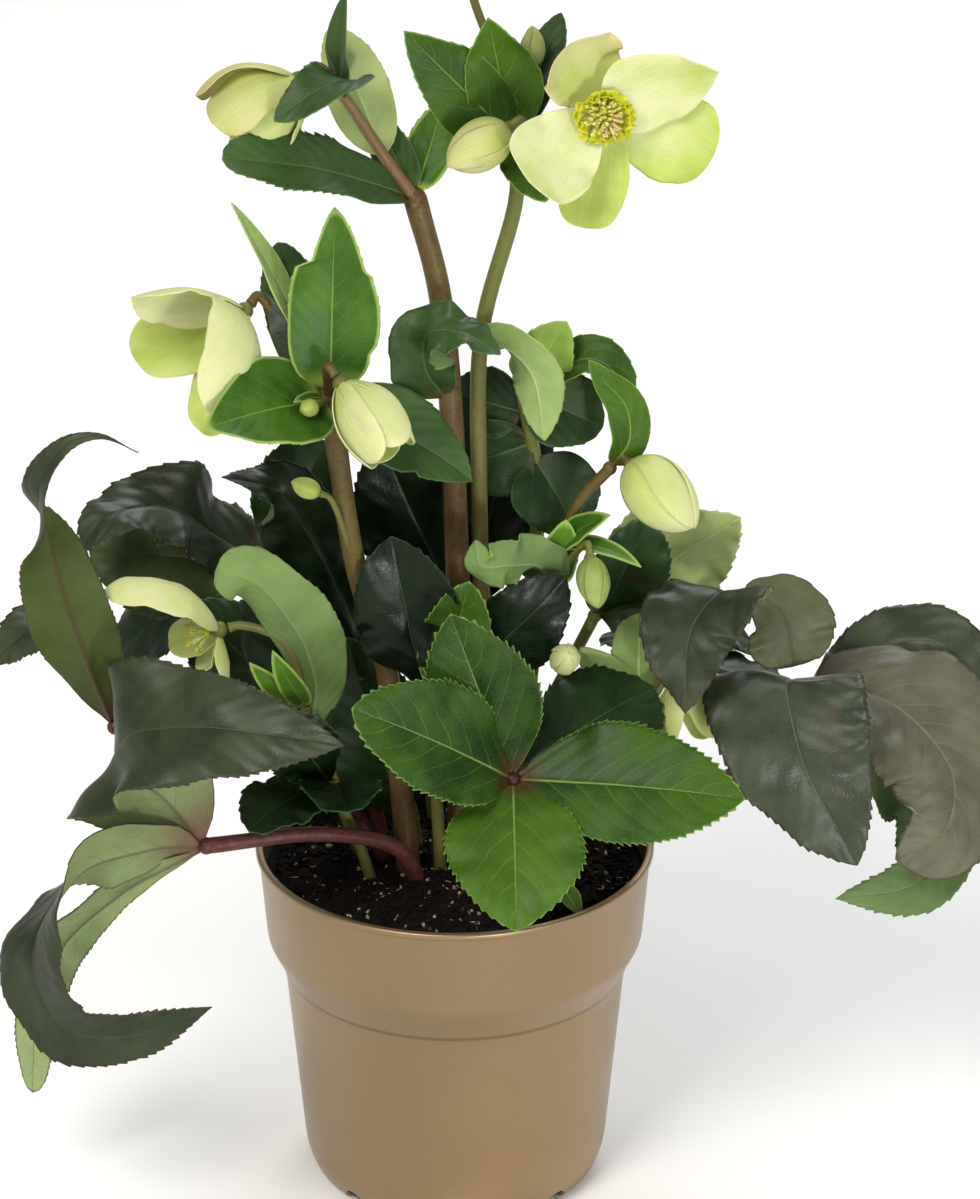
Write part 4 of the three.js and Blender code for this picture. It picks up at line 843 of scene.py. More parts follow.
blooms["bloom_low_left"] = dict(
    at=[-76, -6, 198], face=[182, -12], width=20,
    looks=dict(outline=(0.42, 0.36), foot=2, lime=([0.5, 0.35, 0.4], [0.3, 0.25, 0.3])),
    sepals=[
        dict(turn=72, length=40, width=22.5, open=38, bend=-95, foot=3,
             lime=([0.4, 0.2, 0.1], [0.15, 0.1, 0.2])),
        dict(turn=-70, length=22, width=13, open=80),
        dict(turn=205, length=26, width=15, open=44),
        dict(turn=-125, length=24, width=14, open=60),
        dict(turn=140, length=28, width=16, open=40),
    ],
)
blooms["bloom_low_right"] = dict(
    at=[75, -3, 184], face=[290, -62], width=13,
    looks=dict(length=27, width=13, open=24, outline=(0.42, 0.36), lime=([0.6, 0.4, 0.5], [0.3, 0.2, 0.3])),
    sepals=[dict(turn=turn) for turn in range(10, 370, 72)],
)
blooms["bud_egg"] = dict(at=[15, -13, 372], face=[203, -26], length=23, width=17, blush=0.5, lap=0.03,
                         lime=([0.6, 0.4, 0.3], [0.4, 0.3, 0.2]))
blooms["bud_right"] = dict(at=[58, -2, 253], face=[320, -30], length=31, width=22, lap=0.05,
                           lime=([0.6, 0.35, 0.15], [0.4, 0.25, 0.1]))
blooms["bud_top"] = dict(at=[-2, 13, 421], face=[200, -10], length=15, width=11,
                         lime=([0.9, 0.8, 0.7], [0.8, 0.7, 0.6]))
blooms["bud_brown"] = dict(at=[25, 10, 387], face=[90, 75], length=13, width=8, blush=1.0, finish="greenBud")
blooms["bud_small"] = dict(at=[-44, -13, 250], face=[170, 20], length=10, width=7, lap=0.03,
                           lime=([0.9, 0.7, 0.6], [0.7, 0.6, 0.5]))
blooms["bud_tiny"] = dict(at=[-44, -26, 285], face=[240, 10], length=8, width=6, lap=0.03,
                          lime=([0.9, 0.8, 0.7], [0.8, 0.7, 0.6]))
blooms["bud_hanging"] = dict(at=[44, -12, 224], face=[290, -65], length=17, width=11, finish="greenBud")
blooms["bud_pale"] = dict(at=[35, -14, 190], face=[280, 40], length=16, width=10,
                          lime=([0.5, 0.3, 0.2], [0.4, 0.3, 0.2]))
for name, bloom in blooms.items():
    grow = growBloom if "sepals" in bloom else growBud
    grow(name, bloom)
print("blooms and buds grown:", len(blooms))

hubMargin = 1.2  # how much the knot at a stalk's end stands out


def branchRoute(branch, hub):
    bloom = blooms[branch["to"]]
    axis, size = facing(*bloom["face"]), receptacleOf(bloom)
    end = np.array(bloom["at"], float) - axis * (size + receptacle["gap"])
    before = end - axis * (1 + size)
    return [branch.get("start", hub), *branch.get("via", []), before.tolist(), end.tolist()]


def growPlantPart(name, part):
    hub = np.array(part["stalk"][-1], float)
    size = part["radius"][1] + hubMargin
    skin, flushed = part.get("skin", "stem"), part.get("flushed", 0)
    mesh = newMesh()
    addTube(mesh, part["stalk"], *part["radius"], skin, tone=flushed, flare=0.12)
    addBall(mesh, hub, size * 0.8, part.get("hub", skin), tone=flushed)
    for branch in part.get("branches", []):
        route = branchRoute(branch, hub)
        addTube(mesh, route, *branch["radius"], branch.get("skin", skin), flare=0.25, tone=flushed)
    for index, blade in enumerate(part["blades"]):
        one = dict(kind=part.get("kind", "bract"), finish=part.get("finish", "bract"))
        one.update(blade)
        path = one.pop("path", None)
        root = np.array(one.pop("root", towards(hub, path[0] if path else one["tip"], size * 0.6)), float)
        route = dict(path=[root.tolist(), *path]) if path else dict(root=root)
        addBlade(mesh, seed=seedOf(name, index), **route, **one)
    makePiece(name + "_grown", mesh, name)


# Each leaf or flower stem: its stalk, its branches to the blooms and its blades, each on a path or with a
# tip. Every face looks along a compass turn (270 to the front) and a rise in degrees.
plantParts = {}
plantParts["leaf_front"] = dict(
    stalk=[[5, -16, 95], [6, -22, 125], [19, -38, 160]], radius=[2.5, 2.1], kind="fresh", finish="fresh",
    hub="hub", skin="greenStem", slot="fresh_leaf",
    blades=[
        # the first leaflet's low tone is partly its own darker green and partly painted shade, where it lies
        # in shade
        dict(tip=[-1, -30, 215], face=[265, 22], width=36, bend=14, tone=-0.2),
        dict(tip=[-32, -62, 197], face=[250, 42], width=37, bend=30, tone=0.05, outline=(0.7, 0.75)),
        dict(tip=[20, -82, 128], face=[270, 52], width=44, bend=30, tone=0.85),
        dict(tip=[93, -52, 160], face=[285, 42], width=40, bend=20, tone=0.3, buckle=0.4),
        dict(tip=[65, -8, 178], face=[300, 62], width=38, bend=40, finish="deep", tone=0.3, buckle=0.3,
             outline=(1.3, 0.8), fold=2),
    ],
)
plantParts["leaf_low_left"] = dict(
    stalk=[[-8, -11, 95], [-18, -14, 122], [-41, -22, 132], [-80, -36, 135]], radius=[2.8, 2.4],
    kind="broad", finish="old", skin="redStem",
    blades=[
        dict(path=[[-93, -34, 151], [-108, -43, 169], [-98, -57, 187], [-68, -70, 193], [-34, -76, 191]],
             faces=[[95, 0], [110, 0], [215, 40], [250, 50], [262, 50], [265, 40]], width=50, tone=0.5),
        dict(path=[[-98, -40, 136], [-118, -46, 131], [-131, -52, 118], [-135, -58, 98], [-125, -62, 82],
                   [-106, -64, 80], [-78, -62, 90]],
             faces=[[90, 15], [95, 20], [185, 15], [228, 5], [250, -5], [262, 0], [270, 10]], width=34,
             tone=0.3),
        dict(path=[[-108, -33, 116], [-127, -30, 96], [-137, -27, 68], [-140, -24, 37]],
             faces=[[95, 20], [85, 20], [80, 0], [75, 0]], width=15, kind="blunt", tone=0.9),
    ],
)
plantParts["leaf_far_left"] = dict(
    stalk=[[-18, 5, 95], [-32, 4, 125], [-74, -4, 156], [-110, -14, 167]], radius=[2.5, 2], kind="long",
    finish="old", skin="redStem",
    blades=[
        dict(path=[[-118, -20, 194], [-125, -25, 221], [-129, -28, 243], [-130, -30, 260], [-122, -31, 274],
                   [-111, -31, 277], [-99, -30, 271]],
             faces=[[75, -5], [80, -5], [95, 0], [115, 5], [205, 15], [250, 30], [260, 50]], width=27,
             outline=(0.8, 1.8), back="shadedUnder", tone=0.5),
        dict(path=[[-114, -4, 176], [-120, 4, 191], [-133, 10, 192], [-152, 12, 178]],
             faces=[[260, 40], [250, 50], [250, 50], [245, 30]], width=20, kind="rear", tone=0.6),
    ],
)
plantParts["leaf_back_left"] = dict(
    stalk=[[-21, 19, 95], [-30, 26, 130], [-50, 32, 175], [-62, 34, 202]], radius=[2.4, 2], kind="broad",
    finish="old", skin="redStem",
    blades=[
        dict(path=[[-80, 32, 216], [-99, 25, 228], [-114, 14, 228], [-121, 10, 217]],
             faces=[[262, 60], [262, 60], [245, 45], [225, 20]], width=32, buckle=2.6, quilt=0.3),
        dict(tip=[-112, 40, 166], face=[255, 62], width=34, bend=50, kind="rear", finish="deep"),
        dict(tip=[-42, 46, 242], face=[262, 20], width=32, bend=30, kind="leaflet", finish="deep", tone=0.5),
        dict(tip=[-92, 76, 190], face=[200, 75], width=32, bend=60, kind="rear", finish="deep"),
        # behind the others
        dict(tip=[-120, 34, 208], face=[255, 35], width=42, bend=30, kind="rear", finish="shaded", tone=0.3),
    ],
)
plantParts["leaf_centre_left"] = dict(
    stalk=[[-11, 10, 95], [-16, 14, 130], [-30, 14, 172]], radius=[2.3, 1.9], kind="leaflet", finish="dark",
    skin="greenStem",
    blades=[
        dict(path=[[-35, 13, 194], [-45, 10, 220], [-56, 4, 242], [-74, -6, 252]],
             faces=[[240, 10], [245, 15], [240, 30], [230, 60]], width=32, kind="curled"),
        dict(tip=[-34, 44, 190], face=[150, 60], width=22, bend=50, kind="rear"),
    ],
)
plantParts["leaf_centre"] = dict(
    stalk=[[-4, -2, 95], [-6, -5, 140], [-7, -7, 172]], radius=[2.2, 1.9], kind="leaflet", finish="dark",
    skin="greenStem",
    blades=[
        dict(tip=[-20, -10, 233], face=[258, 15], width=34, bend=30, buckle=2.4),
        dict(tip=[36, -6, 217], face=[290, 25], width=29, bend=40),
        dict(tip=[5, -14, 219], face=[275, 15], width=22, bend=30, finish="fresh", tone=0.5),
    ],
)
plantParts["leaf_centre_back"] = dict(
    stalk=[[1, 17, 95], [2, 22, 140], [3, 26, 186]], radius=[2.2, 1.9], kind="leaflet", finish="dark",
    skin="greenStem",
    blades=[
        dict(tip=[-24, 30, 250], face=[262, 8], width=38, bend=20),
        dict(tip=[20, 52, 256], face=[278, 10], width=38, bend=30),
        dict(tip=[2, 72, 214], face=[100, 50], width=34, bend=50, kind="rear"),
    ],
)
plantParts["leaf_right"] = dict(
    stalk=[[19, -8, 95], [38, -9, 128], [92, -5, 146], [114, 10, 162]], radius=[2.8, 2.2], kind="broad",
    finish="old", skin="redStem",
    blades=[
        dict(path=[[110, -3, 178], [107, -18, 184], [112, -35, 165], [130, -42, 131]],
             faces=[[240, 60], [250, 78], [262, 55], [262, 15], [262, 5]], width=52, outline=(0.5, 0.8),
             finish="slate", tone=0.5),
        dict(path=[[130, 8, 169], [148, 0, 165], [162, -13, 149], [158, -25, 133], [143, -32, 128]],
             faces=[[250, 70], [262, 75], [285, 55], [290, 25], [275, 10], [268, 10]], width=50,
             outline=(0.5, 0.7), quilt=0.3, finish="bronze", tone=0.5),
        dict(path=[[138, 12, 146], [158, 2, 128], [152, -20, 114], [124, -31, 113]],
             faces=[[300, 60], [290, 40], [275, 30], [265, 35]], width=32, finish="deepUnder", back="deep",
             tone=0.8),
        dict(path=[[132, 24, 172], [150, 26, 179], [163, 22, 176], [170, 16, 160]],
             faces=[[262, 40], [270, 60], [285, 50], [300, 10]], width=26, kind="rear", tone=0.6),
    ],
)
plantParts["leaf_upper_right"] = dict(
    stalk=[[15, 12, 95], [36, 16, 140], [66, 12, 178], [92, 4, 204]], radius=[2.4, 1.9], kind="broad",
    finish="dark", skin="redStem",
    blades=[
        dict(path=[[86, -12, 214], [76, -25, 207], [74, -35, 182]],
             faces=[[230, 80], [248, 70], [258, 20], [262, 0]], width=35, finish="old", tone=0.1,
             buckle=2.2),
        dict(path=[[97, 3, 206], [106, 0, 202], [110, -4, 184]],
             faces=[[262, 60], [275, 50], [280, 20], [275, 0]], width=30, kind="blunt", finish="olive",
             tone=0.5),
    ],
)
plantParts["leaf_pale_right"] = dict(
    stalk=[[9, 25, 95], [24, 26, 140], [46, 26, 188]], radius=[2.2, 1.8], kind="leaflet", finish="green",
    skin="greenStem", slot="fresh_leaf",
    blades=[
        dict(tip=[93, 16, 228], face=[85, 5], width=40, bend=20, kind="curled", finish="sage", tone=0.4),
        dict(tip=[62, 4, 234], face=[290, 30], width=28, bend=40, finish="deep", tone=0.9),
        dict(tip=[98, 40, 172], face=[300, 75], width=32, bend=50, kind="rear", finish="deep"),
        # behind the others
        dict(tip=[65, 22, 196], face=[290, 40], width=30, bend=30, finish="shaded", tone=0.6),
    ],
)
plantParts["leaf_back"] = dict(
    stalk=[[-6, 28, 95], [-9, 44, 130], [-12, 68, 158]], radius=[2.4, 2], kind="rear", finish="deep",
    skin="greenStem",
    blades=[
        dict(tip=[-62, 76, 148], face=[206, 62], width=30, bend=50),
        dict(tip=[-40, 114, 138], face=[148, 62], width=30, bend=50),
        dict(tip=[20, 112, 140], face=[86, 62], width=34, bend=50),
    ],
)
plantParts["leaf_back_right"] = dict(
    stalk=[[18, 27, 95], [38, 42, 130], [64, 60, 154]], radius=[2.3, 1.9], kind="rear", finish="deep",
    skin="greenStem",
    blades=[
        dict(tip=[66, 110, 140], face=[116, 62], width=30, bend=50),
        dict(tip=[110, 86, 142], face=[58, 62], width=28, bend=50),
        dict(tip=[112, 44, 146], face=[10, 62], width=28, bend=50),
    ],
)
plantParts["leaf_dark_left"] = dict(
    stalk=[[-24, -8, 95], [-31, -8, 120], [-40, -10, 144]], radius=[2, 1.7], kind="rear", finish="deep",
    skin="greenStem",
    blades=[
        dict(tip=[-66, -40, 142], face=[245, 60], width=28, bend=50),
        dict(tip=[-34, -46, 152], face=[275, 60], width=26, bend=40),
        dict(tip=[-56, -28, 180], face=[262, 30], width=24, bend=30),
        # behind the others
        dict(root=[-38, 6, 148], tip=[-86, 20, 196], face=[250, 30], width=36, bend=30, tone=0.1),
        dict(root=[-16, 16, 116], tip=[-35, 14, 186], face=[255, 15], width=36, bend=20, tone=0.4),
    ],
)
plantParts["stem_left"] = dict(
    stalk=[[-14, -2, 95], [-22, -1, 181], [-32, -6, 223], [-39, -12, 282]], radius=[3.9, 3.3],
    branches=[
        dict(to="bloom_half_open", radius=[1.7, 1.5]),
        dict(to="bloom_left", via=[[-49, -3, 292]], radius=[1.7, 1.5]),
        dict(to="bud_tiny", radius=[1, 1], skin="greenStem"),
        dict(to="bud_small", start=[-30, -4, 212], radius=[1, 1], skin="greenStem"),
    ],
    blades=[
        dict(tip=[-37, -8, 345], face=[272, 20], width=30, bend=-10, kind="ovate", tone=0.1,
             outline=(0.45, 0.75), steps=[(0.7, 0.4, -1), (0.64, 0.12, 1)], notches=[(0.2, 0.1, 1)]),
        dict(tip=[-77, -48, 287], face=[262, 40], width=34, bend=20, kind="ovate", outline=(0.55, 0.95)),
        dict(tip=[6, -14, 254], face=[292, 45], width=30, bend=30, kind="ovate", finish="shade", tone=0.9,
             notches=[(0.6, 0.12, 1)]),
        dict(root=[-42, -6, 287], tip=[-70, 9, 340], face=[330, 10], width=12, bend=12, kind="small",
             finish="sage", tone=0.1),
        dict(tip=[-56, 20, 322], face=[262, 20], width=22, bend=60, finish="shade"),
        dict(tip=[-82, 30, 256], face=[255, 65], width=18, bend=30, finish="shade", tone=0.4),
        dict(tip=[-50, -27, 287], face=[262, 60], width=6, bend=20, kind="small"),
    ],
)
plantParts["stem_tall"] = dict(
    stalk=[[2, 5, 95], [1, 10, 215], [-4, 10, 306], [-12, 10, 341]], radius=[4.4, 3.4], flushed=0.15,
    branches=[
        dict(to="bloom_nodding", via=[[-22, 7, 357], [-34, 5, 377]], radius=[2, 1.4], skin="tanStem"),
    ],
    blades=[
        dict(tip=[-71, -26, 368], face=[262, 50], width=20, bend=30, finish="shade", tone=0.7,
             outline=(0.5, 0.36), tooth=0.9, notches=[(0.66, -0.6, 1), (0.8, 0.2, 1)]),
        dict(root=[-22, 7, 357], tip=[-38, 12, 398], face=[95, 0], width=21, bend=20, finish="sage",
             tone=0.8),
        dict(root=[-34, 5, 377], path=[[-32, -4, 385], [-40, -16, 388], [-55, -22, 379]],
             faces=[[250, 70], [255, 75], [262, 50], [250, 20]], width=18, finish="shade", tone=0.4),
        dict(root=[-34, 5, 377], tip=[-33, 2, 412], face=[215, 10], width=13, bend=20, kind="small",
             finish="shade", tone=0.8),
        dict(tip=[-24, 18, 366], face=[262, 15], width=14, bend=30, finish="shade", tone=0.9),
        dict(tip=[-3, 24, 368], face=[262, 15], width=16, bend=20, tone=0.1),
        dict(root=[-35, 5, 377], tip=[-52, -8, 384], face=[250, 60], width=6, bend=20, kind="small"),
        dict(root=[-3, 8, 274], path=[[-9, 0, 288], [-8, -8, 302], [2, -14, 306], [15, -17, 299]],
             faces=[[262, 0], [262, 10], [265, 40], [275, 70], [290, 60]], width=22, wave=(5, 2.2),
             buckle=2.4, finish="shade", tone=0.6),
    ],
)
plantParts["stem_right"] = dict(
    stalk=[[12, 7, 95], [8, 15, 245], [9, 12, 295], [20, 4, 345], [19, 2, 364]], radius=[2.9, 2.3],
    skin="greenStem",
    branches=[
        dict(to="bud_top", via=[[14, 11, 385], [6, 14, 408]], radius=[1.5, 1.2]),
        dict(to="bloom_open", via=[[31, 5, 367]], radius=[1.8, 1.6]),
        dict(to="bud_egg", radius=[1.6, 1.5]),
        dict(to="bud_brown", via=[[24, 9, 376]], radius=[1.2, 1]),
    ],
    blades=[
        dict(tip=[-15, -4, 402], face=[258, 25], width=25, bend=10, kind="ovate", finish="fresh", tone=0.35),
        dict(tip=[11, -6, 407], face=[272, 15], width=25, bend=-20, kind="ovate", finish="fresh", tone=0.7),
        dict(tip=[29, -16, 350], face=[285, 20], width=18, bend=20, finish="fresh", tone=0.6),
        dict(tip=[34, 24, 398], face=[262, 15], width=14, bend=10, finish="shade"),
        dict(root=[31, 5, 367], tip=[70, 8, 352], face=[280, 30], width=9, bend=30, kind="small"),
        dict(root=[9, 12, 288], path=[[16, 2, 294], [25, -6, 288], [29, -9, 266]],
             faces=[[85, 40], [80, 10], [80, -20]], width=19, finish="sage", back="greenUnder", tone=0.1),
    ],
)
plantParts["stem_right_low"] = dict(
    stalk=[[22, 7, 95], [24, 12, 160], [30, 8, 205], [40, 4, 238], [50, 1, 252]], radius=[2.4, 1.7],
    branches=[
        dict(to="bud_right", radius=[1.5, 1.4]),
        dict(to="bud_hanging", start=[30, 8, 205], via=[[38, -2, 222]], radius=[1.2, 1.1], skin="greenStem"),
        dict(to="bud_pale", start=[28, 10, 188], radius=[1.2, 1.1], skin="greenStem"),
    ],
    blades=[
        dict(path=[[56, 0, 262], [55, 2, 273], [48, 4, 281], [43, 5, 288]],
             faces=[[300, 15], [290, 10], [270, 20], [262, 50]], width=14, kind="small", finish="fresh",
             tone=0.7),
        dict(root=[34, 5, 222], tip=[50, -9, 240], face=[290, 50], width=11, bend=30, kind="small"),
        dict(root=[34, 5, 222], tip=[60, -14, 224], face=[290, 60], width=8, bend=60, kind="small"),
        dict(root=[31, 6, 208], tip=[36, -4, 236], face=[275, 10], width=14, bend=20, tone=0.7),
        dict(root=[29, 7, 206], path=[[27, -6, 221], [18, -14, 225], [9, -17, 226], [7, -15, 234]],
             faces=[[85, -10], [80, -10], [75, 0], [80, 10]], width=19, wave=(5, 1.6), back="shadeUnder",
             finish="green", tone=0.5),
    ],
)
plantParts["stem_behind"] = dict(
    stalk=[[14, 38, 95], [21, 36, 160], [27, 24, 235], [22, 21, 270]], radius=[2.6, 2], skin="greenStem",
    blades=[
        dict(tip=[36, 15, 297], face=[285, 40], width=20, bend=20, finish="green", tone=1),
        dict(path=[[35, 17, 281], [45, 14, 284], [53, 10, 279], [54, 8, 270]],
             faces=[[280, 60], [290, 60], [300, 40], [300, 10]], width=17, finish="fresh", tone=0.3),
        dict(tip=[48, 20, 258], face=[275, 25], width=26, bend=40, finish="shade", tone=0.1),
        dict(root=[25, 22, 252], tip=[0, 22, 242], face=[265, 4], width=28, bend=10, finish="deep", tone=0.9),
        dict(root=[26, 22, 246], tip=[40, 12, 224], face=[280, 30], width=30, bend=30, finish="deep",
             tone=0.5),
        dict(root=[22, 23, 262], tip=[-2, 28, 268], face=[265, 10], width=24, bend=20, finish="shade",
             tone=0.1),
    ],
)
plantParts["stem_low_left"] = dict(
    stalk=[[-28, 12, 95], [-38, 8, 130], [-48, -2, 168]], radius=[2.2, 1.8], skin="greenStem",
    branches=[
        dict(to="bloom_low_left", via=[[-55, -10, 196]], radius=[1.5, 1.4]),
    ],
    blades=[
        dict(root=[-46, 0, 160], path=[[-45, -10, 184], [-52, -17, 206], [-64, -20, 222], [-76, -21, 226]],
             faces=[[80, 10], [75, 10], [65, -5], [40, -20]], width=26, outline=(0.62, 0.36), finish="green",
             back="shadeUnder", tone=0.9),
        dict(tip=[-58, -26, 200], face=[262, 25], width=9, bend=20, kind="small", tone=0.8),
        dict(tip=[-66, -14, 190], face=[240, 25], width=9, bend=20, kind="small", tone=0.8),
        # behind the others
        dict(root=[-44, 4, 150], tip=[-64, 8, 214], face=[250, 20], width=26, bend=30, finish="dark",
             tone=0.8),
    ],
)
plantParts["stem_low_right"] = dict(
    stalk=[[27, 1, 95], [44, 6, 130], [60, 8, 160]], radius=[2.2, 1.8], skin="greenStem",
    branches=[
        dict(to="bloom_low_right", via=[[70, -1, 184]], radius=[1.5, 1.4]),
    ],
    blades=[
        dict(tip=[60, 2, 200], face=[85, 10], width=20, bend=20, finish="green"),
        dict(root=[59, 8, 158], tip=[41, 2, 188], face=[85, 10], width=16, bend=30, kind="small",
             finish="green", tone=0.5),
    ],
)
plantParts["shoot_front"] = dict(
    stalk=[[24, -26, 95], [25, -27, 104], [26, -28, 113], [34, -33, 120]], radius=[1.3, 1], skin="tanStem",
    blades=[
        dict(tip=[41, -42, 113], face=[280, 50], width=7, bend=20, kind="small", finish="green"),
    ],
)
for name, part in plantParts.items():
    growPlantPart(name, part)
print("leaves and stems grown:", len(plantParts))


# Stamens: thin rods that spread from one point under a dome, each with an anther at its end.
stamenScatter = ((-0.0014, -0.0014, -0.0022), (0.0014, 0.0014, 0.0008))  # how far an end strays, in metres


def stamenTree():
    tree, given, result = newTree(
        "stamens", "Geometry",
        dict(count=("Int", 30), spread=0.009, height=0.008, droop=0.004, filament=0.0003, anther=0.0007,
             seed=("Int", 3)),
        ["stamens"], "Geometry")
    index = wired(tree, "GeometryNodeInputIndex")
    share = calc("SQRT", (index + 0.6) / given["count"])
    angle = index * (math.pi * (3 - math.sqrt(5)))
    radius = given["spread"] * share
    place = joined(tree, radius * calc("COSINE", angle), radius * calc("SINE", angle),
                   given["height"] - given["droop"] * share)
    drift = randomBetween(tree, *stamenScatter, given["seed"])
    way = wired(tree, "ShaderNodeVectorMath", {0: place, 1: drift}, operation="ADD")
    length = wired(tree, "ShaderNodeVectorMath", {0: way}, "Value", operation="LENGTH")
    turn = wired(tree, "FunctionNodeAlignRotationToVector", dict(Vector=way), axis="Z")
    points = wired(tree, "GeometryNodePoints", dict(Count=given["count"]))
    rod = wired(tree, "GeometryNodeMeshCylinder", dict(Vertices=6, Depth=1, Radius=given["filament"]), "Mesh")
    raised = wired(tree, "GeometryNodeTransform", dict(Geometry=rod, Translation=(0, 0, 0.5)))
    rods = wired(tree, "GeometryNodeInstanceOnPoints",
                 dict(Points=points, Instance=raised, Rotation=turn, Scale=joined(tree, 1, 1, length)))
    ends = wired(tree, "GeometryNodeSetPosition", dict(Geometry=points, Offset=way))
    head = wired(tree, "GeometryNodeMeshIcoSphere", dict(Subdivisions=2, Radius=given["anther"]), "Mesh")
    oval = wired(tree, "GeometryNodeTransform", dict(Geometry=head, Scale=(1, 0.7, 1.5)))
    heads = wired(tree, "GeometryNodeInstanceOnPoints", dict(Points=ends, Instance=oval, Rotation=turn))
    both = node(tree, "GeometryNodeJoinGeometry")
    feed(both.inputs[0], dressed(rods, finishes["filament"]))
    feed(both.inputs[0], dressed(heads, finishes["anther"]))
    feed(result["stamens"], Wire(both.outputs[0]))
    return tree


def randomBetween(tree, low, high, seed=0):
    return wired(tree, "FunctionNodeRandomValue", {0: low, 1: high, "Seed": seed}, data_type="FLOAT_VECTOR")


def dressed(instances, finish):
    # the instances as real geometry in one finish
    tree = instances.socket.id_data
    real = wired(tree, "GeometryNodeRealizeInstances", {0: instances})
    return wired(tree, "GeometryNodeSetMaterial", dict(Geometry=real, Material=finish))


def setInputs(modifier, values):
    for item in modifier.node_group.interface.items_tree:
        if item.item_type == "SOCKET" and item.in_out == "INPUT" and item.name in values:
            modifier[item.identifier] = values[item.name]


def grown(name, data, tree, values):
    # runs a node tree on a mesh and returns what it makes as a plain mesh
    carrier = linked(name, data)
    modifier = carrier.modifiers.new(name, "NODES")
    modifier.node_group = tree
    setInputs(modifier, values)
    graph = bpy.context.evaluated_depsgraph_get()
    result = bpy.data.meshes.new_from_object(carrier.evaluated_get(graph))
    carrier.modifiers.remove(modifier)
    bpy.data.objects.remove(carrier)
    return result


stamens = stamenTree()


def growHeart(name, bloom, heart):
    axis, level, rise = axesOf(bloom)
    foot = np.array(bloom["at"], float) + axis * (receptacleOf(bloom) + 0.35)
    data = grown(name, bpy.data.meshes.new(name), stamens, heart)
    rows = [[level[i], rise[i], axis[i], foot[i] * mm] for i in range(3)]
    data.transform(Matrix(rows + [[0, 0, 0, 1]]))
    for face in data.polygons:
        face.use_smooth = True
    claim(linked("heart_of_" + name + "_stamens", data), "heart_of_" + name)
    mesh = newMesh()
    addBall(mesh, foot + axis * 0.8, heart.get("dome", 1.9), "nectary", axis, 0.8)
    chance = np.random.default_rng(heart["seed"])
    for k in range(heart.get("nectaries", 0)):
        a = 2 * math.pi * (k + chance.uniform(0.1, 0.6)) / heart["nectaries"]
        out = math.cos(a) * level + math.sin(a) * rise
        ring = heart["ring"] * chance.uniform(0.82, 1.06)
        start = foot + out * ring * 0.5
        tip = foot + out * ring + axis * heart["lift"] * chance.uniform(0.75, 1.35)
        addCup(mesh, start, tip, heart["cup"] * chance.uniform(0.8, 1.15), axis, chance.uniform(0, 6))
    for k in range(heart.get("styles", 0)):
        a = 0.5 * k + heart["styleTurn"]
        lean = (math.cos(a) * level + math.sin(a) * rise) * heart["styleLean"]
        path = [foot + axis * along + lean * share for along, share in ((0, 0), (3, 1), (6, 1.5), (8, 2.6))]
        addTube(mesh, path, 0.75, 0.4, "style", sides=8, steps=4, flare=0.2)
    makePiece("heart_of_" + name + "_nectaries", mesh, "heart_of_" + name)


# A nectary: a small flattened trumpet with a hollow mouth.
def addCup(mesh, start, tip, width, axis, frill, sides=12):
    along = unit(tip - start)
    level = unit(np.cross(along, axis))
    rise = np.cross(along, level)
    length = np.linalg.norm(tip - start)
    profile = [(0, 0.2), (0.25, 0.32), (0.6, 0.7), (0.85, 0.95), (1, 1.05), (1.02, 0.98), (0.93, 0.8),
               (0.75, 0.5), (0.6, 0.1)]
    places = [start]
    for t, r in profile:
        for k in range(sides):
            a = 2 * math.pi * k / sides
            ring = (math.cos(a) * level + math.sin(a) * rise * 0.7) * r * width
            ring *= 1 + 0.16 * t * math.sin(3 * a + frill) + 0.08 * t * math.sin(5 * a + 2 * frill)
            lip = t * length * (1 + 0.1 * t * math.sin(2 * a + frill))
            places.append(start + along * lip + ring)
    places.append(start + along * 0.55 * length)
    count = len(places)
    gather(mesh, places, turnedFaces(len(profile), sides), "nectary", True, [(0, 0.5, 0)] * count,
           [(3, 3, 5)] * count)


# The heart of each open bloom. Spread, height, droop and anther are in metres, the rest in millimetres.
hearts = dict(
    bloom_open=dict(seed=5, count=80, spread=0.0056, height=0.0075, droop=0.003, anther=0.00075, dome=4.2,
                    nectaries=17, ring=8.7, lift=3.4, cup=2.0, styles=5, styleTurn=4.7, styleLean=1.9),
    bloom_left=dict(seed=8, count=22, spread=0.0055, height=0.0085, droop=0.0035),
    bloom_nodding=dict(seed=2, count=14, spread=0.0028, height=0.0075, droop=0.0025, anther=0.0006,
                       dome=1.6),
    bloom_low_left=dict(seed=4, count=20, spread=0.006, height=0.0085, droop=0.0035, dome=1.7),
    bloom_low_right=dict(seed=6, count=12, spread=0.003, height=0.0075, droop=0.0025, anther=0.0006,
                         dome=1.5),
)
for name, heart in hearts.items():
    growHeart(name, blooms[name], heart)
print("hearts grown:", len(hearts))

# The pot: thin moulded plastic with a rolled lip, a collar, drain holes and notches in its foot.
pot = dict(height=118, lip=65.6, lipHeight=2, collarTop=64.6, collarFoot=62, collarFootZ=86, waist=56.5,
           waistZ=75.5, base=50, baseZ=8, foot=46.5, wall=1.4, floor=2.6, sides=144, sharpFrom=40,
           rounding=[0, 3, 5, 6, 2.2, 0.7, 0.5, 1.0, 0.8, 2.2, 6, 3, 1.5, 0],  # of each corner of its profile
           drains=4, drainRing=32, drainRadius=4, notch=(12, 9, 5))


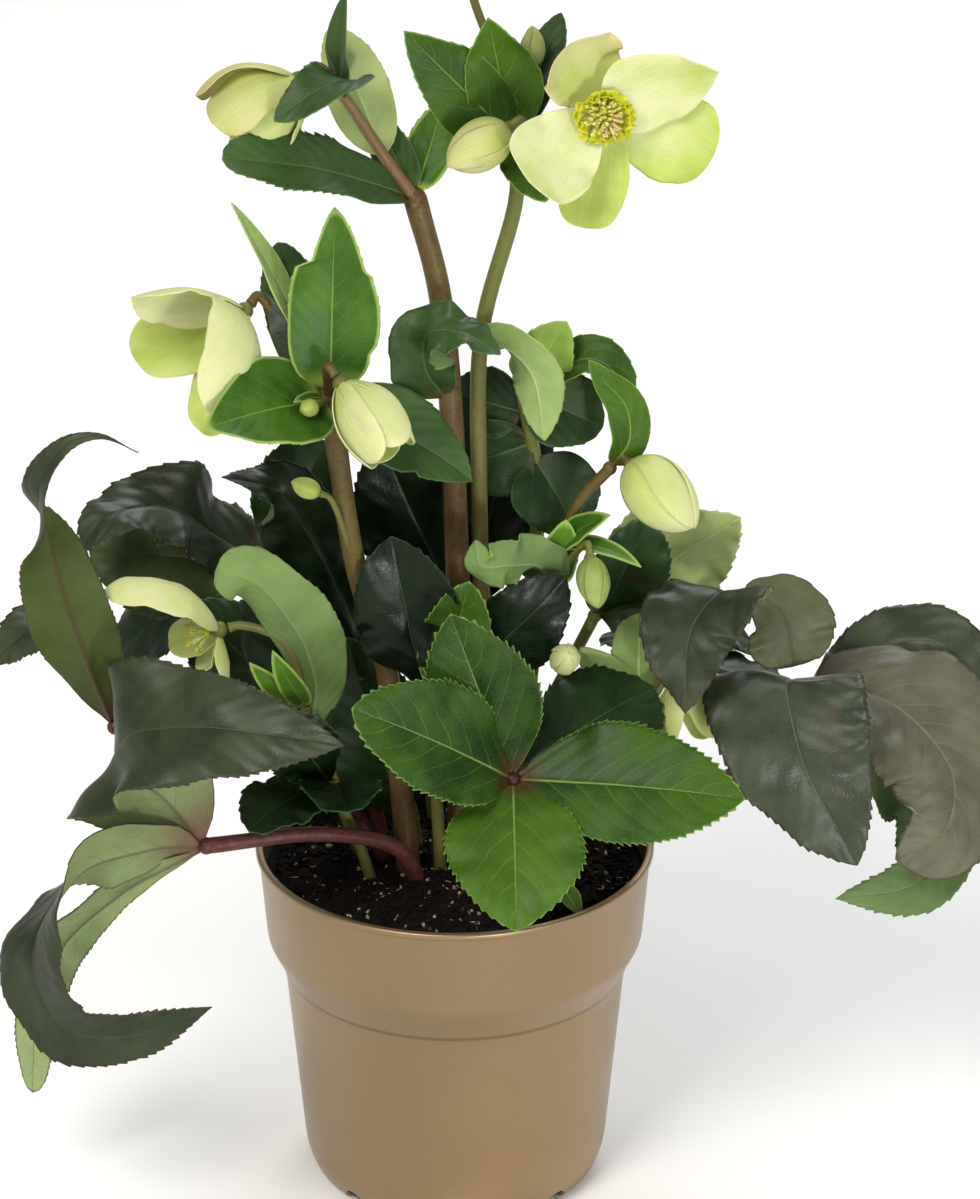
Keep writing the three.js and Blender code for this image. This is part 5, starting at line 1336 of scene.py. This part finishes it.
def filleted(points, radii):
    # rounds each corner of a profile of [radius, height]
    made = []
    for i, (point, radius) in enumerate(zip(points, radii)):
        point = np.array(point, float)
        if not radius:
            made.append(point)
            continue
        before, after = np.array(points[i - 1], float), np.array(points[i + 1], float)
        a = point + unit(before - point) * min(radius, np.linalg.norm(before - point) * 0.48)
        b = point + unit(after - point) * min(radius, np.linalg.norm(after - point) * 0.48)
        for t in np.linspace(0, 1, 7):
            made.append((1 - t) ** 2 * a + 2 * t * (1 - t) * point + t**2 * b)
    return made


def lathe(profile, sides):
    # turns a profile about the upright axis; it starts and ends on the axis
    inner = profile[1:-1]
    places = [(0, 0, profile[0][1])]
    for r, z in inner:
        for k in range(sides):
            a = 2 * math.pi * k / sides
            places.append((r * math.cos(a), r * math.sin(a), z))
    places.append((0, 0, profile[-1][1]))
    return np.array(places, float), turnedFaces(len(inner), sides)


def insideRadius(z, gap=0.0):
    heights = [pot["baseZ"], pot["waistZ"], pot["collarFootZ"], pot["height"] - pot["lipHeight"]]
    radii = [pot["base"], pot["waist"], pot["collarFoot"], pot["collarTop"]]
    return float(np.interp(z, heights, radii)) - pot["wall"] - gap


def addCutter(radius, depth, ring, turn):
    bpy.ops.mesh.primitive_cylinder_add(vertices=32, radius=radius * mm, depth=depth * mm)
    cutter = bpy.context.object
    cutter.location = (ring * math.cos(turn) * mm, ring * math.sin(turn) * mm, 0)
    return cutter


def buildPot():
    top, under = pot["height"], pot["height"] - pot["lipHeight"]
    inside = [(insideRadius(pot[level]), pot[level]) for level in ("collarFootZ", "waistZ", "baseZ")]
    profile = [(0, 0), (pot["foot"], 0), (pot["base"], pot["baseZ"]), (pot["waist"], pot["waistZ"]),
               (pot["collarFoot"], pot["collarFootZ"]), (pot["collarTop"], under), (pot["lip"], under),
               (pot["lip"], top), (pot["collarTop"] - pot["wall"], top), *inside,
               (inside[-1][0] - 2, pot["floor"]), (0, pot["floor"])]
    places, faces = lathe(filleted(profile, pot["rounding"]), pot["sides"])
    data = bpy.data.meshes.new("pot_blank")
    data.from_pydata((places * mm).tolist(), [], faces)
    data.materials.append(finishes["pot"])
    blank = linked("pot_blank", data)
    cutters = []
    for k in range(pot["drains"]):
        turn = 2 * math.pi * k / pot["drains"]
        cutters.append(addCutter(pot["drainRadius"], 20, pot["drainRing"], turn))
        turn += math.pi / pot["drains"]
        depth, width, height = pot["notch"]
        notch = addCutter(width / 2, depth, pot["foot"], turn)
        notch.rotation_euler = (0, math.pi / 2, turn)
        notch.scale = (2 * height / width, 1, 1)
        cutters.append(notch)
    for cutter in cutters:
        cut = blank.modifiers.new("cut", "BOOLEAN")
        cut.operation, cut.solver, cut.object = "DIFFERENCE", "EXACT", cutter
    graph = bpy.context.evaluated_depsgraph_get()
    data = bpy.data.meshes.new_from_object(blank.evaluated_get(graph))
    for old in [blank, *cutters]:
        bpy.data.objects.remove(old)
    data.name = "pot_shell"
    data.polygons.foreach_set("use_smooth", [True] * len(data.polygons))
    data.set_sharp_from_angle(angle=math.radians(pot["sharpFrom"]))
    claim(linked("pot_shell", data), "pot")


buildPot()
print("pot moulded")

# The peat, with crumbs, bark and fibres lying on it.
soil = dict(top=108, gap=0.35, ripple=1.5, dome=1.4, clods=1.6, clodPitch=0.22, rings=44, sides=120)


def hilly(places):
    edge = insideRadius(soil["top"], soil["gap"])
    x, y, z = places.T
    share = np.hypot(x, y) / edge
    bumps = np.sin(x * 0.31 + 1) * np.cos(y * 0.27) + 0.6 * np.sin(x * 0.11 - y * 0.17)
    rise = soil["ripple"] * (bumps + soil["dome"] * (1 - share))
    spots = [Vector((u * soil["clodPitch"], v * soil["clodPitch"], 3.1)) for u, v in zip(x, y)]
    clods = np.array([hills.fractal(spot, 1.0, 2.2, 5) for spot in spots])
    rise = (rise + soil["clods"] * clods) * np.clip((0.99 - share) * 12, 0, 1)
    places[:, 2] = np.where(z > soil["top"] - 0.01, z + rise, z)
    return places


def buildSoil():
    bottom, top, gap = pot["floor"] + soil["gap"], soil["top"], soil["gap"]
    levels = [pot["baseZ"], pot["waistZ"], pot["collarFootZ"], top]
    wall = [(insideRadius(bottom, gap + 1.2), bottom), *[(insideRadius(z, gap), z) for z in levels]]
    rings = [(wall[-1][0] * share, top) for share in np.linspace(1, 0, soil["rings"])[1:-1]]
    places, faces = lathe([(0, bottom), *wall, *rings, (0, top)], soil["sides"])
    mesh = newMesh()
    gather(mesh, hilly(places), faces, "peat")
    makePiece("soil_bed", mesh, "soil")
    # the top alone, without the point that closes it below, is the ground for the crumbs
    places, faces = lathe([(0, top), *rings[:0:-1], (0, top - 1)], soil["sides"])
    last = len(places) - 1
    data = bpy.data.meshes.new("soil_top")
    faces = [face[::-1] for face in faces if last not in face]
    data.from_pydata((hilly(places)[:-1] * mm).tolist(), [], faces)
    return data


def crumbTree():
    tree, given, result = newTree(
        "crumbs", "Geometry",
        dict(ground=("Geometry", None), density=1000, seed=("Int", 1), smallest=("Vector", (1, 1, 1)),
             largest=("Vector", (1, 1, 1)), turnLow=("Vector", (0, 0, 0)), turnHigh=("Vector", (3, 3, 6)),
             finish=("Material", None)),
        ["crumbs"], "Geometry")
    points = wired(tree, "GeometryNodeDistributePointsOnFaces",
                   dict(Mesh=given["ground"], Density=given["density"], Seed=given["seed"]))
    ball = wired(tree, "GeometryNodeMeshIcoSphere", dict(Radius=1, Subdivisions=2), "Mesh")
    dents = randomBetween(tree, (-0.16, -0.16, -0.16), (0.16, 0.16, 0.16))
    lump = wired(tree, "GeometryNodeSetPosition", dict(Geometry=ball, Offset=dents))
    size = randomBetween(tree, given["smallest"], given["largest"], 1)
    turn = randomBetween(tree, given["turnLow"], given["turnHigh"], 2)
    strewn = wired(tree, "GeometryNodeInstanceOnPoints",
                   dict(Points=points, Instance=lump, Scale=size, Rotation=turn))
    feed(result["crumbs"], dressed(strewn, given["finish"]))
    return tree


litter = dict(  # how many to a square metre, and the half-sizes in metres
    dark=dict(density=190000, seed=3, smallest=(0.0004, 0.0004, 0.0003), largest=(0.0015, 0.0012, 0.001),
              finish="crumb"),
    pale=dict(density=15000, seed=11, smallest=(0.0003, 0.0003, 0.0002), largest=(0.0013, 0.001, 0.0008),
              finish="paleCrumb"),
    red=dict(density=7000, seed=17, smallest=(0.0003, 0.0003, 0.0002), largest=(0.0012, 0.0009, 0.0007),
             finish="redCrumb"),
    fibre=dict(density=9000, seed=23, smallest=(0.00009, 0.00009, 0.001), largest=(0.0002, 0.0002, 0.004),
               turnLow=(1.2, 0, 0), turnHigh=(1.9, 0, 6.3), finish="paleCrumb"),
)
ground = buildSoil()
crumbs = crumbTree()
for name, values in litter.items():
    values = dict(values, finish=finishes[values["finish"]])
    bits = linked("soil_" + name + "_bits", grown("crumbs", ground.copy(), crumbs, values))
    claim(bits, "soil")
print("peat laid, with", len(litter), "kinds of crumb")

# The studio: a pale floor, four soft lamps and a white sky.
studio = dict(
    floorSize=7,
    floorColour="#f4f4f3",
    floorTint="#efefee",
    skyStrength=0.45,
    lamps=[  # place, width and height in metres, watts, all aimed at the plant
        dict(name="key", at=(-0.85, -1.5, 1.85), size=(0.9, 0.9), power=38, colour="#fffaf4"),
        dict(name="fill", at=(1.5, -1.5, 1.1), size=(1.2, 1.2), power=12, colour="#f1f6ff"),
        dict(name="strip", at=(0.64, -1.6, 0.15), size=(0.16, 0.28), power=11, colour="#ffffff"),
        dict(name="rim", at=(0.5, 1.4, 1.8), size=(1.1, 1.1), power=24, colour="#ffffff"),
    ],
    aim=(0, 0, 0.24),
)


def buildStudio(studio):
    half = studio["floorSize"] / 2
    data = bpy.data.meshes.new("studio_floor")
    corners = [(-half, -half, 0), (half, -half, 0), (half, half, 0), (-half, half, 0)]
    data.from_pydata(corners, [], [(0, 1, 2, 3)])
    data.transform(Matrix.Translation((0, 1, -0.0003)))
    made, tree, skin = newFinish("studioFloor", 0.9, 0.2)
    tint = (noise(objectPlace(tree), 3, 2), shade(studio["floorTint"]))
    feed(skin.inputs["Base Color"], painted(shade(studio["floorColour"]), tint))
    data.materials.append(made)
    linked("studio_floor", data)
    for lamp in studio["lamps"]:
        light = bpy.data.lights.new(lamp["name"], "AREA")
        light.shape = "RECTANGLE"
        light.size, light.size_y = lamp["size"]
        light.energy, light.color = lamp["power"], shade(lamp["colour"])[:3]
        placed = linked(lamp["name"], light)
        placed.location = lamp["at"]
        beam = Vector(studio["aim"]) - Vector(lamp["at"])
        placed.rotation_euler = beam.to_track_quat("-Z", "Y").to_euler()
    world = bpy.data.worlds.new("studio_sky")
    world.use_nodes = True
    sky = world.node_tree.nodes["Background"]
    sky.inputs["Color"].default_value = (1, 1, 1, 1)
    sky.inputs["Strength"].default_value = studio["skyStrength"]
    bpy.context.scene.world = world
    bpy.context.scene.view_settings.view_transform = "Standard"


buildStudio(studio)
print("studio lit")
